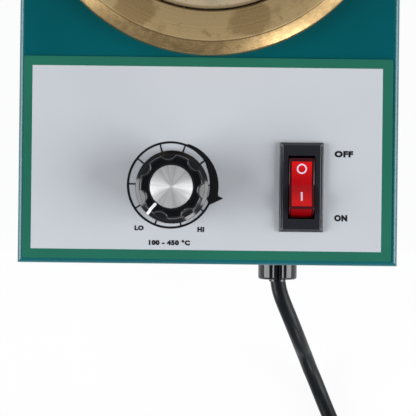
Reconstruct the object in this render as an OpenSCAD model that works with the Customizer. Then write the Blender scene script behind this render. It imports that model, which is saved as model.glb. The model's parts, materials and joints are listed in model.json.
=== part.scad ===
// Bench solder pot with a dial control, a rocker switch and a mains lead.
// +Y is the rear, +X the right-hand side, +Z up. The feet stand on z = 0 and
// the housing is centred on the origin. All sizes are in millimetres.

/* [Housing] */
// Outside width of the housing
case_w = 130; // [128:1:160]
// Outside depth of the housing, front to rear
case_d = 200; // [196:1:240]
// Height of the folded cover
cover_h = 73; // [68:1:90]
// Thickness of the cover sheet
sheet_t = 1; // [0.8:0.1:1.5]
// Outside radius of the folded edges
bend_r = 1.8; // [1.7:0.1:3]
// Thickness of the base tray sheet
base_t = 1.2; // [1:0.1:1.6]
// Height of the base tray's side flanges
flange_h = 16; // [14:1:24]
// Gap between the base tray and the cover
tray_gap = 0.3; // [0.2:0.05:0.6]

/* [Feet] */
// Height of a rubber foot
foot_h = 7; // [6:0.5:12]
// Diameter of a rubber foot at its top
foot_d = 17; // [15:0.5:22]
// Distance of a foot's centre from the housing's sides
foot_inset = 17; // [14:1:24]

/* [Side screws] */
// Thread diameter of a cover screw
side_screw_d = 3; // [2.5:0.5:4]
// Distance of the cover screws from the front and rear faces
side_screw_inset = 28; // [24:1:40]

/* [Vents] */
// Width of a ventilation slot
vent_w = 2.6; // [2:0.2:3.4]
// Height of a side slot
vent_h = 26; // [20:1:30]
// Distance between neighbouring slots
vent_pitch = 7; // [5:0.5:9]
// Number of slots in each side
vent_n = 9; // [5:1:11]
// Number of slots in the rear
rear_vent_n = 7; // [3:1:9]

/* [Melting pot] */
// Depth of the crucible
bore_depth = 45; // [35:1:50]
// Wall of the crucible
crucible_wall = 2; // [1.6:0.1:3]
// Floor of the crucible
crucible_floor = 4; // [3:0.5:6]
// How far the crucible's lip reaches out from the bore
lip_w = 6.4; // [6.2:0.1:7.4]
// Thickness of the lip
lip_t = 3; // [2:0.2:4]
// How far the lip lies below the collar's top
lip_drop = 0.4; // [0.2:0.1:1]
// Gap between the lip and the collar
lip_gap = 0.5; // [0.4:0.1:1]
// Distance from the crucible's bore to the outside of the collar
rim_w = 23; // [22:0.1:26]

/* [Collar] */
// Distance of the collar from the housing's sides
collar_side = 2; // [1.5:0.1:4]
// Distance of the collar from the housing's rear
collar_rear = 2.7; // [2:0.1:6]
// Height of the collar
collar_h = 10; // [9:0.5:14]
// Width of the sloping rim
slope_w = 4.6; // [3.5:0.1:5]
// Drop of the sloping rim
slope_h = 4.2; // [3:0.1:5]
// Depth of the step inside the sloping rim
step_h = 0.6; // [0.3:0.1:1]
// Thickness of the collar's inner web
web_t = 5; // [4.6:0.2:5.6]

/* [Heater] */
// Thickness of the band heater
heater_t = 3.8; // [3:0.2:4.4]
// Gap between the heater and the crucible
heater_gap = 0.15; // [0.1:0.05:0.3]
// Thickness of the insulating sleeve
sleeve_t = 5; // [4:0.2:5.4]
// Thickness of the insulating disc under the crucible
disc_t = 12; // [8:1:14]
// Sheet of the heat-shield can
can_t = 0.8; // [0.6:0.1:1]
// Thread diameter of the collar screws
collar_screw_d = 4; // [3:0.5:4]

/* [Panel] */
// Thickness of the front overlay
label_t = 0.4; // [0.2:0.1:1]
// Distance of the overlay from the left side
label_left = 1.6; // [1.2:0.1:3]
// Distance of the overlay from the right side
label_right = 2.1; // [1.2:0.1:3]
// Distance of the overlay from the front face
label_front = 1.6; // [1.2:0.1:3]
// Gap between the overlay and the collar
label_gap = 0.6; // [0.4:0.1:3]

/* [Dial control] */
// Distance of the knob's axis from the centre line, to the right
knob_x = -12.3; // [-30:0.1:0]
// Distance of the knob's axis from the front face
knob_f = 26.3; // [22:0.1:34]
// Diameter of the knob's skirt
skirt_d = 24.8; // [23:0.2:30]
// Height of the knob's top above the overlay
knob_h = 14.4; // [12.5:0.2:18]
// Diameter of the knob's disc
cap_d = 14.7; // [12:0.1:15]
// Number of finger flutes round the knob
flute_n = 7; // [5:1:12]
// Diameter of the control's shaft
shaft_d = 6; // [5:0.5:6]
// Outside diameter of the control's threaded bushing
bushing_d = 9; // [8:0.5:10]
// Turn of the pointer from the rear, clockwise, at the low stop
pointer_rest = 223; // [200:1:240]

/* [Switch] */
// Distance of the switch from the centre line, to the right
switch_x = 31.9; // [22:0.1:40]
// Distance of the switch from the front face
switch_f = 26.7; // [24:0.1:34]
// Width of the bezel
bezel_w = 15; // [14.6:0.1:17]
// Length of the bezel
bezel_l = 30.5; // [30:0.1:34]
// Height of the bezel
bezel_h = 2; // [1.5:0.1:3]
// Width of the rocker
rocker_w = 8.6; // [7.6:0.1:9]
// Radius of the rocker's ends about its pivot
rocker_r = 10.4; // [9.6:0.1:10.6]
// Tilt of the rocker to each side of the middle
rocker_tilt = 11; // [9:0.5:12]
// Diameter of the rocker's pivot pins
pivot_d = 2.2; // [1.8:0.1:2.6]

/* [Mains lead] */
// Diameter of the mains lead
cord_d = 5.6; // [5:0.2:6]
// Height of the lead's exit above the table
exit_z = 30; // [30:0.5:30.5]
// Distance of the exit from the centre line, to the right
exit_x = 25.8; // [25.6:0.1:26]
// Diameter of the strain-relief bushing
relief_d = 14.2; // [13:0.2:16]
// How far the bushing stands out of the front
relief_l = 6.6; // [6:0.2:8]
// Diameter of the plug's round body
plug_d = 37; // [35:0.5:39]
// Thickness of the plug's body
plug_h = 17; // [15:0.5:20]
// Diameter of a plug pin
pin_d = 4.8; // [4:0.1:4.8]
// Distance between the plug pins
pin_pitch = 19; // [18:0.5:20]
// Length of a plug pin
pin_l = 19; // [17:0.5:20]

/* [Hidden] */
$fn = 72;
teal = "#00565c";
steel = "#b9bcc0";
brass = "#a89468";
dark = "#1b1c20";
board_green = "#2f6a45";
loose = 0.2;       // radial play of a plain hole
thread_play = 0.05; // radial play of a screw in its thread
run_play = 0.05;   // radial play of a turning shaft
slip = 0.3;        // side play between stacked or sliding pieces
eps = 0.01;
through = 400;     // longer than any cut needs

// Heights
top_z = foot_h + cover_h;              // top face of the cover
under_z = top_z - sheet_t;             // underside of the cover's top
floor_z = foot_h + base_t;             // inside floor of the tray
panel_z = top_z + label_t;             // top face of the overlay
front_y = -case_d / 2;
tray_w = case_w - 2 * (sheet_t + tray_gap);
tray_d = case_d - 2 * (sheet_t + tray_gap);

// Melting pot stack, from the bore outwards
collar_r = case_w / 2 - collar_side;
bore_d = 2 * (collar_r - rim_w);
pot_y = case_d / 2 - collar_rear - collar_r;
rim_z = top_z + collar_h;              // top of the collar
lip_z = rim_z - lip_drop;              // top of the crucible
lip_r = bore_d / 2 + lip_w;
crucible_r = bore_d / 2 + crucible_wall;
crucible_z = lip_z - bore_depth - crucible_floor;
heater_r = crucible_r + heater_gap;
sleeve_r = heater_r + heater_t + slip; // inside of the sleeve
can_r = sleeve_r + sleeve_t + slip;    // inside of the can
can_z = crucible_z - disc_t;           // inside floor of the can
can_out_r = can_r + can_t;
collar_in_r = lip_r + lip_gap;
web_z = rim_z - web_t;                 // underside of the collar's web
collar_seat_r = can_r + loose + 0.6;   // inside of the collar's standing wall
collar_screw_head = 1.75 * collar_screw_d;
collar_screw_r = can_out_r + collar_screw_head / 2 + slip;
collar_screw_l = 5;                    // thread engaged in the collar
collar_screw_h = 0.6 * collar_screw_d;
collar_screw_turns = [30, 150, 270];
can_rim_r = collar_screw_r + collar_screw_head / 2 + slip;
rear_turn = 90;                        // the heater's split faces the rear
split_w = 6;
ear_t = 1.2;
ear_l = 4.4;
ear_h = 14;
sleeve_slot_w = split_w + 2 * (ear_t + 5);
heater_z0 = crucible_z + 3;
heater_z1 = lip_z - lip_t - 2;
ear_z = (heater_z0 + heater_z1) / 2;
heater_lead_x = 6;
lead_hole_y = pot_y - heater_r - heater_t / 2;
sensor_d = 4;
sensor_tail = 9;

// Dial control
knob_y = front_y + knob_f;
bushing_r = bushing_d / 2;
shaft_r = shaft_d / 2;
control_r = 8.5;
control_h = 9.5;
rotor_r = 5.5;
rotor_t = 1.2;
washer_t = 0.6;
washer_r = bushing_r + 2;
nut_af = bushing_d + 3;
nut_h = 2;
bushing_top = panel_z + 6;
knob_z = panel_z + washer_t + 0.3;     // underside of the knob
knob_top = panel_z + knob_h;
skirt_t = 2;
cap_t = 1;
cap_drop = 0.3;
knob_low_r = skirt_d / 2 - 1.2;
knob_high_r = knob_low_r - 0.5;
flute_r = 3.1;
flute_in = 1.6;                        // depth of a flute in the knob's side
cavity_r = nut_af / 2 / cos(30) + 0.8; // hollow over the nut
cavity_top = bushing_top + 0.5;
shaft_top = knob_top - cap_t - cap_drop - 1.2;
grub_d = 3;
grub_l = 5;
grub_z = (cavity_top + shaft_top) / 2;
flat_depth = 0.25 * shaft_r;
tag_z = under_z - control_h + 1.2;     // solder tags of the control
tag_w = 1.6;
tag_l = 3.5;
tag_pitch = 4;

// Switch
switch_y = front_y + switch_f;
bezel_z = panel_z + bezel_h;
window_w = rocker_w + 2 * slip;
window_l = 2 * (rocker_r + 1.3 * slip);
body_w = window_w + 3.6;
body_l = window_l + 6;
body_depth = 22;
body_z = panel_z - body_depth;
rocker_half = 0.77 * rocker_r;         // half-length of the rocker's finger faces
rocker_end = 0.48 * rocker_r;          // height of a face's outer edge above the pivot
rocker_mid = rocker_end - rocker_half * tan(rocker_tilt);
rocker_foot = 0.58 * rocker_r;         // depth of the rocker below the pivot
pivot_z = bezel_z + 0.5 - rocker_mid * cos(rocker_tilt);
well_z = pivot_z - rocker_r - slip;    // floor of the housing's well
cutout_gap = 0.2;
tab_w = 4.8;
tab_t = 0.8;
tab_l = 8;
tab_pitch = 0.32 * body_l;

// Control board
board_w = case_w - 2 * foot_inset - foot_d - 1;
board_d = 56;
board_t = 1.6;
board_x = -1;
board_front = 10;                      // distance of the board from the front face
board_y = front_y + board_front + board_d / 2;
part_x = board_w / 4;                  // the larger parts stand to each side of the middle
spacer_h = 8;
spacer_d = 6;
board_z = floor_z + spacer_h;
board_top = board_z + board_t;
board_inset = 4;
board_screw_d = 3;
lead_d = 1.8;
core_d = 2;
core_pitch = 4.5;
block_x = board_x + part_x;
block_y = board_y - board_d / 2 + 16;
block_w = 16;
block_d = 10;
block_h = 12;
sink_x = board_x - part_x;
sink_y = board_y + 10;
sink_w = 26;
sink_d = 14;
sink_h = 28;
earth_inset = 12;
earth_x = case_w / 2 - earth_inset;
earth_y = board_y + 2;
earth_d = 4;
lead_drop = 6;                          // of the heater leads, below the can
lead_margin = 6;                        // from the board's rear edge
sensor_bend = 4;                        // of the sensor's lead, beyond the board's edge
sensor_rise = 3;                        // of the sensor's lead, over the board

// Mains lead
cord_r = cord_d / 2;
relief_r = relief_d / 2;
relief_neck_r = relief_r - 1.5;
relief_in = 4;                         // length of the bushing inside the cover
inner_end = 3;                         // sheath beyond the bushing, inside
coil_x = 23;
coil_y = -209;
coil_in = 24;                          // centre line of the innermost turn
coil_out = 41.8;                       // centre line of the outermost turn
coil_lift = 1;                         // thickness of the tie under the coil
coil_h = 2 * cord_d + coil_lift;
tie_w = 5;
tie_t = 1;
tie_turn = 135;
plug_x = -45;
plug_y = -186;
plug_axis_z = 8;
tail_l = 22;                           // length of the plug's tapered tail
// Route of the lead from inside the bushing to the coil
lead_route = [
    [25.8, -93, 30], [25.8, -100, 30], [25.9, -105.5, 30], [26.3, -109, 30],
    [27.2, -112.4, 29.8], [28.7, -116.2, 28.9], [30.6, -120.6, 27.2], [32.5, -125, 24.4],
    [34, -128.5, 21.1], [35.3, -131.5, 17.3], [36.4, -134, 13.4], [37.6, -136.8, 10.4],
    [39.1, -140.5, 7.4], [41.1, -145, 4.9], [43.2, -150, 3.3], [45.5, -155.5, 2.8],
    [49.6, -165, 2.8], [54.3, -176, 2.8], [59, -187, 2.8], [61.4, -192.5, 2.8]
];
// Route of the lead from the coil to the plug
tail_route = [
    [21, -250.8, 8.5], [13, -250.8, 8.1], [6, -250.8, 6.7], [-1, -250.8, 4.8],
    [-9, -250.8, 3.3], [-18, -250.8, 2.8], [-25.5, -249.7, 2.8], [-32.5, -246.8, 2.9],
    [-38.4, -242.2, 3.9], [-42.6, -236.4, 5.7], [-44.6, -231, 7.3], [-45, -226.5, 8]
];

// ---- shared shapes ----

// Profile of a folded sheet: flat below, both upper corners rounded
module fold_profile(w, h, r) {
    translate([-w / 2, 0]) square([w, h - r]);
    translate([r - w / 2, 0]) square([w - 2 * r, h]);
    for (s = [-1, 1]) translate([s * (w / 2 - r), h - r]) circle(r);
}

// Block with all four upper edges rounded and mitred corners
module folded_block(w, d, h, r) {
    intersection() {
        translate([0, d / 2, 0]) rotate([90, 0, 0]) linear_extrude(d) fold_profile(w, h, r);
        rotate([90, 0, 90]) translate([0, 0, -w / 2]) linear_extrude(w) fold_profile(d, h, r);
    }
}

module round_rect(w, d, r) {
    square([w - 2 * r, d], center = true);
    square([w, d - 2 * r], center = true);
    for (x = [-1, 1], y = [-1, 1]) translate([x * (w / 2 - r), y * (d / 2 - r)]) circle(r);
}

module slot(l, w) {
    square([w, l - w], center = true);
    for (s = [-1, 1]) translate([0, s * (l - w) / 2]) circle(w / 2);
}

// Pin along +X, centred on x = 0
module pin_x(r, l) {
    rotate([0, 90, 0]) cylinder(r = r, h = l, center = true);
}

// Screw pointing down from z = 0 with a domed, cross-slotted head above it
module pan_screw(d, l, head_d, head_h) {
    difference() {
        union() {
            translate([0, 0, -l]) cylinder(d = d, h = l + eps);
            rotate_extrude() polygon([
                [0, 0], [head_d / 2, 0], [head_d / 2, head_h * 0.45],
                [head_d * 0.44, head_h * 0.8], [head_d * 0.3, head_h], [0, head_h]
            ]);
        }
        for (a = [0, 90]) rotate(a) translate([-head_d * 0.28, -head_d * 0.06, head_h * 0.45])
            cube([head_d * 0.56, head_d * 0.12, head_h]);
    }
}

module hex_nut(af, h, hole_r) {
    difference() {
        cylinder(r = af / 2 / cos(30), h = h, $fn = 6);
        translate([0, 0, -eps]) cylinder(r = hole_r, h = h + 2 * eps);
    }
}

// ---- cord sweep ----

function unit(v) = v / norm(v);
function heading(route, i) = unit(
    route[min(i + 1, len(route) - 1)] - route[max(i - 1, 0)]);
// Vector square to the route at point i and to up, which the route never follows
function side(route, i, up) = unit(cross(heading(route, i), up));
function ring(route, i, r, sides, up) = [
    for (k = [0:sides - 1]) let (a = 360 * (k + 0.5) / sides)
        route[i] + r * cos(a) * side(route, i, up)
            + r * sin(a) * cross(side(route, i, up), heading(route, i))
];

// Closed tube along a route, with a flat end at its first and last point
module tube(route, r, sides, up = [0, 0, 1]) {
    n = len(route);
    polyhedron(
        points = [for (i = [0:n - 1]) each ring(route, i, r, sides, up)],
        faces = concat(
            [[for (k = [0:sides - 1]) k]],
            [for (i = [0:n - 2], k = [0:sides - 1]) let (m = (k + 1) % sides)
                [i * sides + k, (i + 1) * sides + k, (i + 1) * sides + m, i * sides + m]],
            [[for (k = [sides - 1:-1:0]) (n - 1) * sides + k]]
        )
    );
}

// Insulated wire that never runs along X
module wire(points, d) tube(points, d / 2, 8, [1, 0, 0]);

// ---- housing ----

module side_screw_places() {
    for (s = [-1, 1], y = [-1, 1])
        translate([s * case_w / 2, y * (case_d / 2 - side_screw_inset), foot_h + flange_h / 2])
            rotate([0, s * 90, 0]) children();
}

module foot_places() {
    for (x = [-1, 1], y = [-1, 1])
        translate([x * (case_w / 2 - foot_inset), y * (case_d / 2 - foot_inset), 0]) children();
}

module collar_screw_places() {
    for (a = collar_screw_turns)
        translate([0, pot_y, 0]) rotate(a) translate([collar_screw_r, 0, 0]) children();
}

module vent_row(n) {
    for (i = [0:n - 1]) translate([(i - (n - 1) / 2) * vent_pitch, 0]) slot(vent_h, vent_w);
}

module cover() color(teal) difference() {
    translate([0, 0, foot_h]) folded_block(case_w, case_d, cover_h, bend_r);
    translate([0, 0, foot_h - eps])
        folded_block(case_w - 2 * sheet_t, case_d - 2 * sheet_t,
            cover_h - sheet_t + eps, bend_r - sheet_t);
    // pot opening and the holes of the collar screws
    translate([0, pot_y, under_z - eps]) cylinder(r = can_r + loose, h = sheet_t + 2 * eps);
    collar_screw_places() translate([0, 0, under_z - eps])
        cylinder(d = collar_screw_d + 2 * loose, h = sheet_t + 2 * eps);
    // control and switch
    translate([knob_x, knob_y, under_z - eps])
        cylinder(r = bushing_r + loose, h = sheet_t + 2 * eps);
    translate([switch_x, switch_y, under_z - eps]) linear_extrude(sheet_t + 2 * eps)
        square([body_w + 2 * cutout_gap, body_l + 2 * cutout_gap], center = true);
    // strain relief
    translate([exit_x, front_y - eps, exit_z]) rotate([-90, 0, 0])
        cylinder(r = relief_neck_r + loose, h = sheet_t + 2 * eps);
    side_screw_places() translate([0, 0, -sheet_t - eps])
        cylinder(d = side_screw_d + 2 * loose, h = sheet_t + 2 * eps);
    // slots beside and behind the pot
    for (s = [-1, 1])
        translate([s * (case_w / 2 - sheet_t / 2), pot_y, foot_h + cover_h * 0.5])
            rotate([90, 0, 90]) linear_extrude(sheet_t + 2 * eps, center = true) vent_row(vent_n);
    translate([0, case_d / 2 - sheet_t / 2, foot_h + cover_h * 0.5])
        rotate([90, 0, 0]) linear_extrude(sheet_t + 2 * eps, center = true) vent_row(rear_vent_n);
}

module base_tray() color(steel) difference() {
    translate([0, tray_d / 2, foot_h + flange_h]) rotate([-90, 0, 180]) linear_extrude(tray_d)
        difference() {
            fold_profile(tray_w, flange_h, bend_r);
            translate([0, -eps]) fold_profile(tray_w - 2 * base_t, flange_h - base_t + eps,
                bend_r - base_t);
        }
    side_screw_places() translate([0, 0, -sheet_t - tray_gap - base_t - eps])
        cylinder(r = side_screw_d / 2 + thread_play, h = base_t + 2 * eps);
    translate([0, 0, foot_h - eps]) {
        foot_places() cylinder(r = foot_screw_d / 2 + loose, h = base_t + 2 * eps);
        board_places() cylinder(r = board_screw_d / 2 + loose, h = base_t + 2 * eps);
        translate([earth_x, earth_y, 0]) cylinder(r = earth_d / 2 + loose, h = base_t + 2 * eps);
        for (s = [-1, 1]) translate([0, pot_y + s * (vent_h / 2 + vent_pitch)])
            linear_extrude(base_t + 2 * eps) vent_row(vent_n);
    }
}

side_screw_l = sheet_t + tray_gap + base_t + 3;
module side_screws() color(steel)
    side_screw_places() pan_screw(side_screw_d, side_screw_l, 2 * side_screw_d, 0.65 * side_screw_d);

foot_screw_d = 4;
foot_head_d = 8;
foot_head_h = 2.4;
foot_recess = foot_head_h + 1;
foot_nut_h = 3.2;

module rubber_feet() color(dark) foot_places() rotate_extrude() polygon([
    [foot_head_d / 2 + 0.6, 0], [foot_d / 2 - 2, 0], [foot_d / 2 - 1.2, 0.8],
    [foot_d / 2, foot_h], [foot_screw_d / 2 + loose, foot_h],
    [foot_screw_d / 2 + loose, foot_recess], [foot_head_d / 2 + 0.6, foot_recess]
]);

module foot_screws() color(steel) foot_places() translate([0, 0, foot_recess]) mirror([0, 0, 1])
    pan_screw(foot_screw_d, foot_h - foot_recess + base_t + foot_nut_h + 1,
        foot_head_d, foot_head_h);

module foot_nuts() color(steel) foot_places() translate([0, 0, floor_z])
    hex_nut(7, foot_nut_h, foot_screw_d / 2 + thread_play);

module panel_overlay() color("#c9ced4") {
    label_w = case_w - label_left - label_right;
    label_d = case_d - collar_rear - 2 * collar_r - label_gap - label_front;
    translate([0, 0, top_z]) linear_extrude(label_t) difference() {
        translate([label_left - case_w / 2 + label_w / 2, front_y + label_front + label_d / 2])
            round_rect(label_w, label_d, 0.8);
        translate([knob_x, knob_y]) circle(bushing_r + loose);
        translate([switch_x, switch_y])
            square([body_w + 2 * cutout_gap, body_l + 2 * cutout_gap], center = true);
    }
}

// ---- melting pot ----

module collar() color(brass) difference() {
    translate([0, pot_y, 0]) rotate_extrude($fn = 144) polygon([
        [collar_seat_r, top_z], [collar_r, top_z],
        [collar_r, rim_z - step_h - slope_h],
        [collar_r - 0.5, rim_z - step_h - slope_h + 0.5],
        [collar_r - slope_w, rim_z - step_h], [collar_r - slope_w - 0.7, rim_z - step_h],
        [collar_r - slope_w - 1, rim_z - 0.2], [collar_r - slope_w - 1.2, rim_z],
        [collar_in_r + 0.5, rim_z], [collar_in_r, rim_z - 0.5],
        [collar_in_r, web_z], [collar_seat_r, web_z]
    ]);
    collar_screw_places() translate([0, 0, top_z - eps])
        cylinder(r = collar_screw_d / 2 + thread_play, h = collar_screw_l + 0.5);
}

module collar_screws() color(steel) collar_screw_places()
    translate([0, 0, under_z - can_t]) mirror([0, 0, 1])
        pan_screw(collar_screw_d, can_t + sheet_t + collar_screw_l,
            collar_screw_head, collar_screw_h);

// Half section of a cup with rounded inside and outside bottom corners
module cup_section(r, h, corner) {
    square([r - corner, h]);
    translate([0, corner]) square([r, h - corner]);
    translate([r - corner, corner]) circle(corner);
}

module crucible() color("#a8997e") translate([0, pot_y, crucible_z]) rotate_extrude($fn = 144)
    intersection() {
        square([lip_r, bore_depth + crucible_floor]);
        difference() {
            union() {
                cup_section(crucible_r, bore_depth + crucible_floor - lip_t / 2, 8);
                translate([0, bore_depth + crucible_floor - lip_t]) {
                    square([lip_r - 0.6, lip_t]);
                    square([lip_r, lip_t - 0.6]);
                    translate([lip_r - 0.6, lip_t - 0.6]) circle(0.6);
                }
            }
            translate([0, crucible_floor]) cup_section(bore_d / 2, bore_depth + 1, 6);
        }
    }

module heater_band() color("#8d8f92") translate([0, pot_y, 0]) difference() {
    union() {
        difference() {
            translate([0, 0, heater_z0])
                cylinder(r = heater_r + heater_t, h = heater_z1 - heater_z0);
            translate([0, 0, heater_z0 - eps])
                cylinder(r = heater_r, h = heater_z1 - heater_z0 + 2 * eps);
            translate([-split_w / 2, 0, heater_z0 - eps])
                cube([split_w, through, heater_z1 - heater_z0 + 2 * eps]);
        }
        for (s = [-1, 1]) translate([s * (split_w + ear_t) / 2, heater_r + heater_t - 1, ear_z])
            translate([-ear_t / 2, 0, -ear_h / 2]) cube([ear_t, ear_l + 1, ear_h]);
    }
    translate([0, heater_r + heater_t + ear_l / 2, ear_z])
        pin_x(band_screw_d / 2 + loose, through);
}

band_screw_d = 2.5;
band_head_d = 4;
module band_screw() color(steel)
    translate([0, pot_y + heater_r + heater_t + ear_l / 2, ear_z]) {
        pin_x(band_screw_d / 2, split_w + 2 * ear_t + eps);
        for (s = [-1, 1]) translate([s * (split_w / 2 + ear_t + 1), 0, 0])
            pin_x(band_head_d / 2, 2);
    }

module insulation_sleeve() color("#e8e4d8") translate([0, pot_y, can_z]) difference() {
    cylinder(r = sleeve_r + sleeve_t, h = web_z - slip - can_z);
    translate([0, 0, -eps]) cylinder(r = sleeve_r, h = through);
    translate([-sleeve_slot_w / 2, 0, disc_t]) cube([sleeve_slot_w, through, through]);
}

module insulation_disc() color("#e8e4d8") translate([0, pot_y, can_z]) difference() {
    cylinder(r = sleeve_r - slip, h = disc_t);
    translate([0, 0, -eps]) cylinder(r = sensor_d / 2 + loose, h = disc_t + 2 * eps);
    for (s = [-1, 1]) translate([s * heater_lead_x, -heater_r - heater_t / 2, -eps])
        cylinder(d = lead_d + 2 * loose, h = disc_t + 2 * eps);
}

module shield_can() color(steel) difference() {
    translate([0, pot_y, 0]) rotate_extrude($fn = 144) polygon([
        [0, can_z - can_t], [can_out_r, can_z - can_t], [can_out_r, under_z - can_t],
        [can_rim_r, under_z - can_t], [can_rim_r, under_z], [can_r, under_z],
        [can_r, can_z], [0, can_z]
    ]);
    collar_screw_places() translate([0, 0, under_z - can_t - eps])
        cylinder(d = collar_screw_d + 2 * loose, h = can_t + 2 * eps);
    translate([0, pot_y, can_z - can_t - eps]) {
        cylinder(r = sensor_d / 2 + loose, h = can_t + 2 * eps);
        for (s = [-1, 1]) translate([s * heater_lead_x, -heater_r - heater_t / 2, 0])
            cylinder(d = lead_d + 2 * loose, h = can_t + 2 * eps);
    }
}

module sensor_probe() color(steel) translate([0, pot_y, can_z - can_t - sensor_tail])
    cylinder(d = sensor_d, h = sensor_tail + can_t + disc_t);

module sensor_clip() color(brass) translate([0, pot_y, can_z - can_t - 1]) difference() {
    linear_extrude(1) round_rect(18, 9, 2);
    translate([0, 0, -eps]) cylinder(r = sensor_d / 2 + thread_play, h = 1 + 2 * eps);
}

// ---- dial control ----

module control_body() color(dark) translate([knob_x, knob_y, under_z - control_h]) difference() {
    cylinder(r = control_r, h = control_h);
    translate([0, 0, 1.6]) cylinder(r = rotor_r + 0.6, h = rotor_t + 1.2);
    translate([0, 0, 1.6]) cylinder(r = shaft_r + run_play, h = control_h);
}

module control_tags() color(brass) for (s = [-1, 0, 1])
    translate([knob_x + s * tag_pitch - tag_w / 2, knob_y, tag_z]) difference() {
        cube([tag_w, control_r + tag_l, 0.6]);
        translate([tag_w / 2 - s * tag_pitch, 0, -eps]) cylinder(r = control_r, h = 1);
    }

module control_bushing() color(brass) translate([knob_x, knob_y, under_z]) difference() {
    cylinder(r = bushing_r, h = bushing_top - under_z);
    translate([0, 0, -eps]) cylinder(r = shaft_r + run_play, h = bushing_top - under_z + 2 * eps);
}

module control_washer() color(steel) translate([knob_x, knob_y, panel_z]) difference() {
    cylinder(r = washer_r, h = washer_t);
    translate([0, 0, -eps]) cylinder(r = bushing_r + thread_play, h = washer_t + 2 * eps);
}

module control_nut() color(steel) translate([knob_x, knob_y, panel_z + washer_t])
    hex_nut(nut_af, nut_h, bushing_r + thread_play);

// Shaft with its rotor, and a flat for the grub screw
module control_shaft() color(steel) translate([knob_x, knob_y, 0]) rotate(-pointer_rest) {
    rotor_z = under_z - control_h + 1.6 + 0.6;
    difference() {
        translate([0, 0, rotor_z]) cylinder(r = shaft_r, h = shaft_top - rotor_z);
        translate([-shaft_r, -shaft_r - eps, cavity_top]) cube([2 * shaft_r, flat_depth + eps, through]);
    }
    translate([0, 0, rotor_z]) cylinder(r = rotor_r, h = rotor_t);
}

module knob_body() color(dark) translate([knob_x, knob_y, 0]) rotate(-pointer_rest) difference() {
    union() {
        rotate_extrude() polygon([
            [0, knob_z], [skirt_d / 2, knob_z], [skirt_d / 2, knob_z + skirt_t * 0.5],
            [skirt_d / 2 - 0.5, knob_z + skirt_t * 0.8], [knob_low_r, knob_z + skirt_t],
            [0, knob_z + skirt_t]
        ]);
        difference() {
            rotate_extrude() polygon([
                [0, knob_z + skirt_t - eps], [knob_low_r, knob_z + skirt_t - eps],
                [knob_high_r + 0.5, knob_top - 1], [knob_high_r, knob_top - 0.3],
                [knob_high_r - 0.4, knob_top], [0, knob_top]
            ]);
            for (i = [0:flute_n - 1]) rotate(360 / flute_n * (i + 0.5))
                translate([0, knob_low_r + flute_r - flute_in, knob_z + skirt_t])
                    cylinder(r = flute_r, h = through, $fn = 36);
        }
    }
    // hollow over the nut, shaft bore and seat of the disc
    translate([0, 0, knob_z - eps]) cylinder(r = cavity_r, h = cavity_top - knob_z + eps);
    translate([0, 0, knob_z]) cylinder(r = shaft_r + run_play, h = shaft_top + 0.2 - knob_z);
    translate([0, 0, knob_top - cap_t - cap_drop]) cylinder(r = cap_d / 2 + run_play, h = through);
    // tapped hole of the grub screw
    translate([0, 0, grub_z]) rotate([90, 0, 0]) cylinder(r = grub_d / 2 + thread_play, h = skirt_d);
}

module knob_disc() color("#dfe1e4")
    translate([knob_x, knob_y, knob_top - cap_t - cap_drop]) cylinder(d = cap_d, h = cap_t);

module knob_grub_screw() color(dark) translate([knob_x, knob_y, grub_z]) rotate(-pointer_rest)
    rotate([90, 0, 0]) translate([0, 0, shaft_r - flat_depth + 0.05]) difference() {
        cylinder(d = grub_d, h = grub_l);
        translate([0, 0, grub_l - 1.5]) cylinder(r = grub_d / 4 / cos(30), h = 2, $fn = 6);
    }

// ---- switch ----

module switch_housing() color(dark) translate([switch_x, switch_y, 0]) difference() {
    union() {
        // bezel with sloping sides, then the body below the panel
        translate([0, 0, panel_z]) intersection() {
            rotate([90, 0, 0]) linear_extrude(bezel_l, center = true) polygon([
                [-bezel_w / 2, 0], [bezel_w / 2, 0], [bezel_w / 2, 0.6],
                [bezel_w / 2 - 1.2, bezel_h], [1.2 - bezel_w / 2, bezel_h], [-bezel_w / 2, 0.6]
            ]);
            rotate([90, 0, 90]) linear_extrude(bezel_w, center = true) polygon([
                [-bezel_l / 2, 0], [bezel_l / 2, 0], [bezel_l / 2, 0.6],
                [bezel_l / 2 - 0.9, bezel_h], [0.9 - bezel_l / 2, bezel_h], [-bezel_l / 2, 0.6]
            ]);
        }
        translate([0, 0, body_z]) linear_extrude(body_depth + eps)
            square([body_w, body_l], center = true);
        // spring catches under the cover
        for (s = [-1, 1]) scale([1, s, 1]) rotate([90, 0, 90]) linear_extrude(6, center = true)
            polygon([
                [body_l / 2 - eps, under_z - 0.1], [body_l / 2 + 0.9, under_z - 0.1],
                [body_l / 2 - eps, under_z - 6]
            ]);
    }
    translate([0, 0, well_z]) linear_extrude(through)
        square([window_w, window_l], center = true);
    translate([0, 0, pivot_z]) pin_x(pivot_d / 2 + run_play, body_w + 2 * eps);
}

// Rocker, tilted so that its rear end is down
module switch_rocker() color("#b01018") translate([switch_x, switch_y, pivot_z])
    rotate([-rocker_tilt, 0, 0]) {
        rotate([90, 0, 90]) linear_extrude(rocker_w, center = true) polygon([
            [-rocker_half, rocker_end], [0, rocker_mid], [rocker_half, rocker_end],
            [0.988 * rocker_r, -0.13 * rocker_r], [0.85 * rocker_r, -0.4 * rocker_r],
            [0, -rocker_foot],
            [-0.85 * rocker_r, -0.4 * rocker_r], [-0.988 * rocker_r, -0.13 * rocker_r]
        ]);
        pin_x(pivot_d / 2, body_w - 0.8);
    }

module switch_terminals() color(brass) for (i = [-1, 0, 1])
    translate([switch_x - tab_t / 2, switch_y + i * tab_pitch - tab_w / 2, body_z - tab_l])
        cube([tab_t, tab_w, tab_l]);

// ---- control board ----

module board_places() {
    for (x = [-1, 1], y = [-1, 1])
        translate([board_x + x * (board_w / 2 - board_inset),
            board_y + y * (board_d / 2 - board_inset), 0]) children();
}

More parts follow.
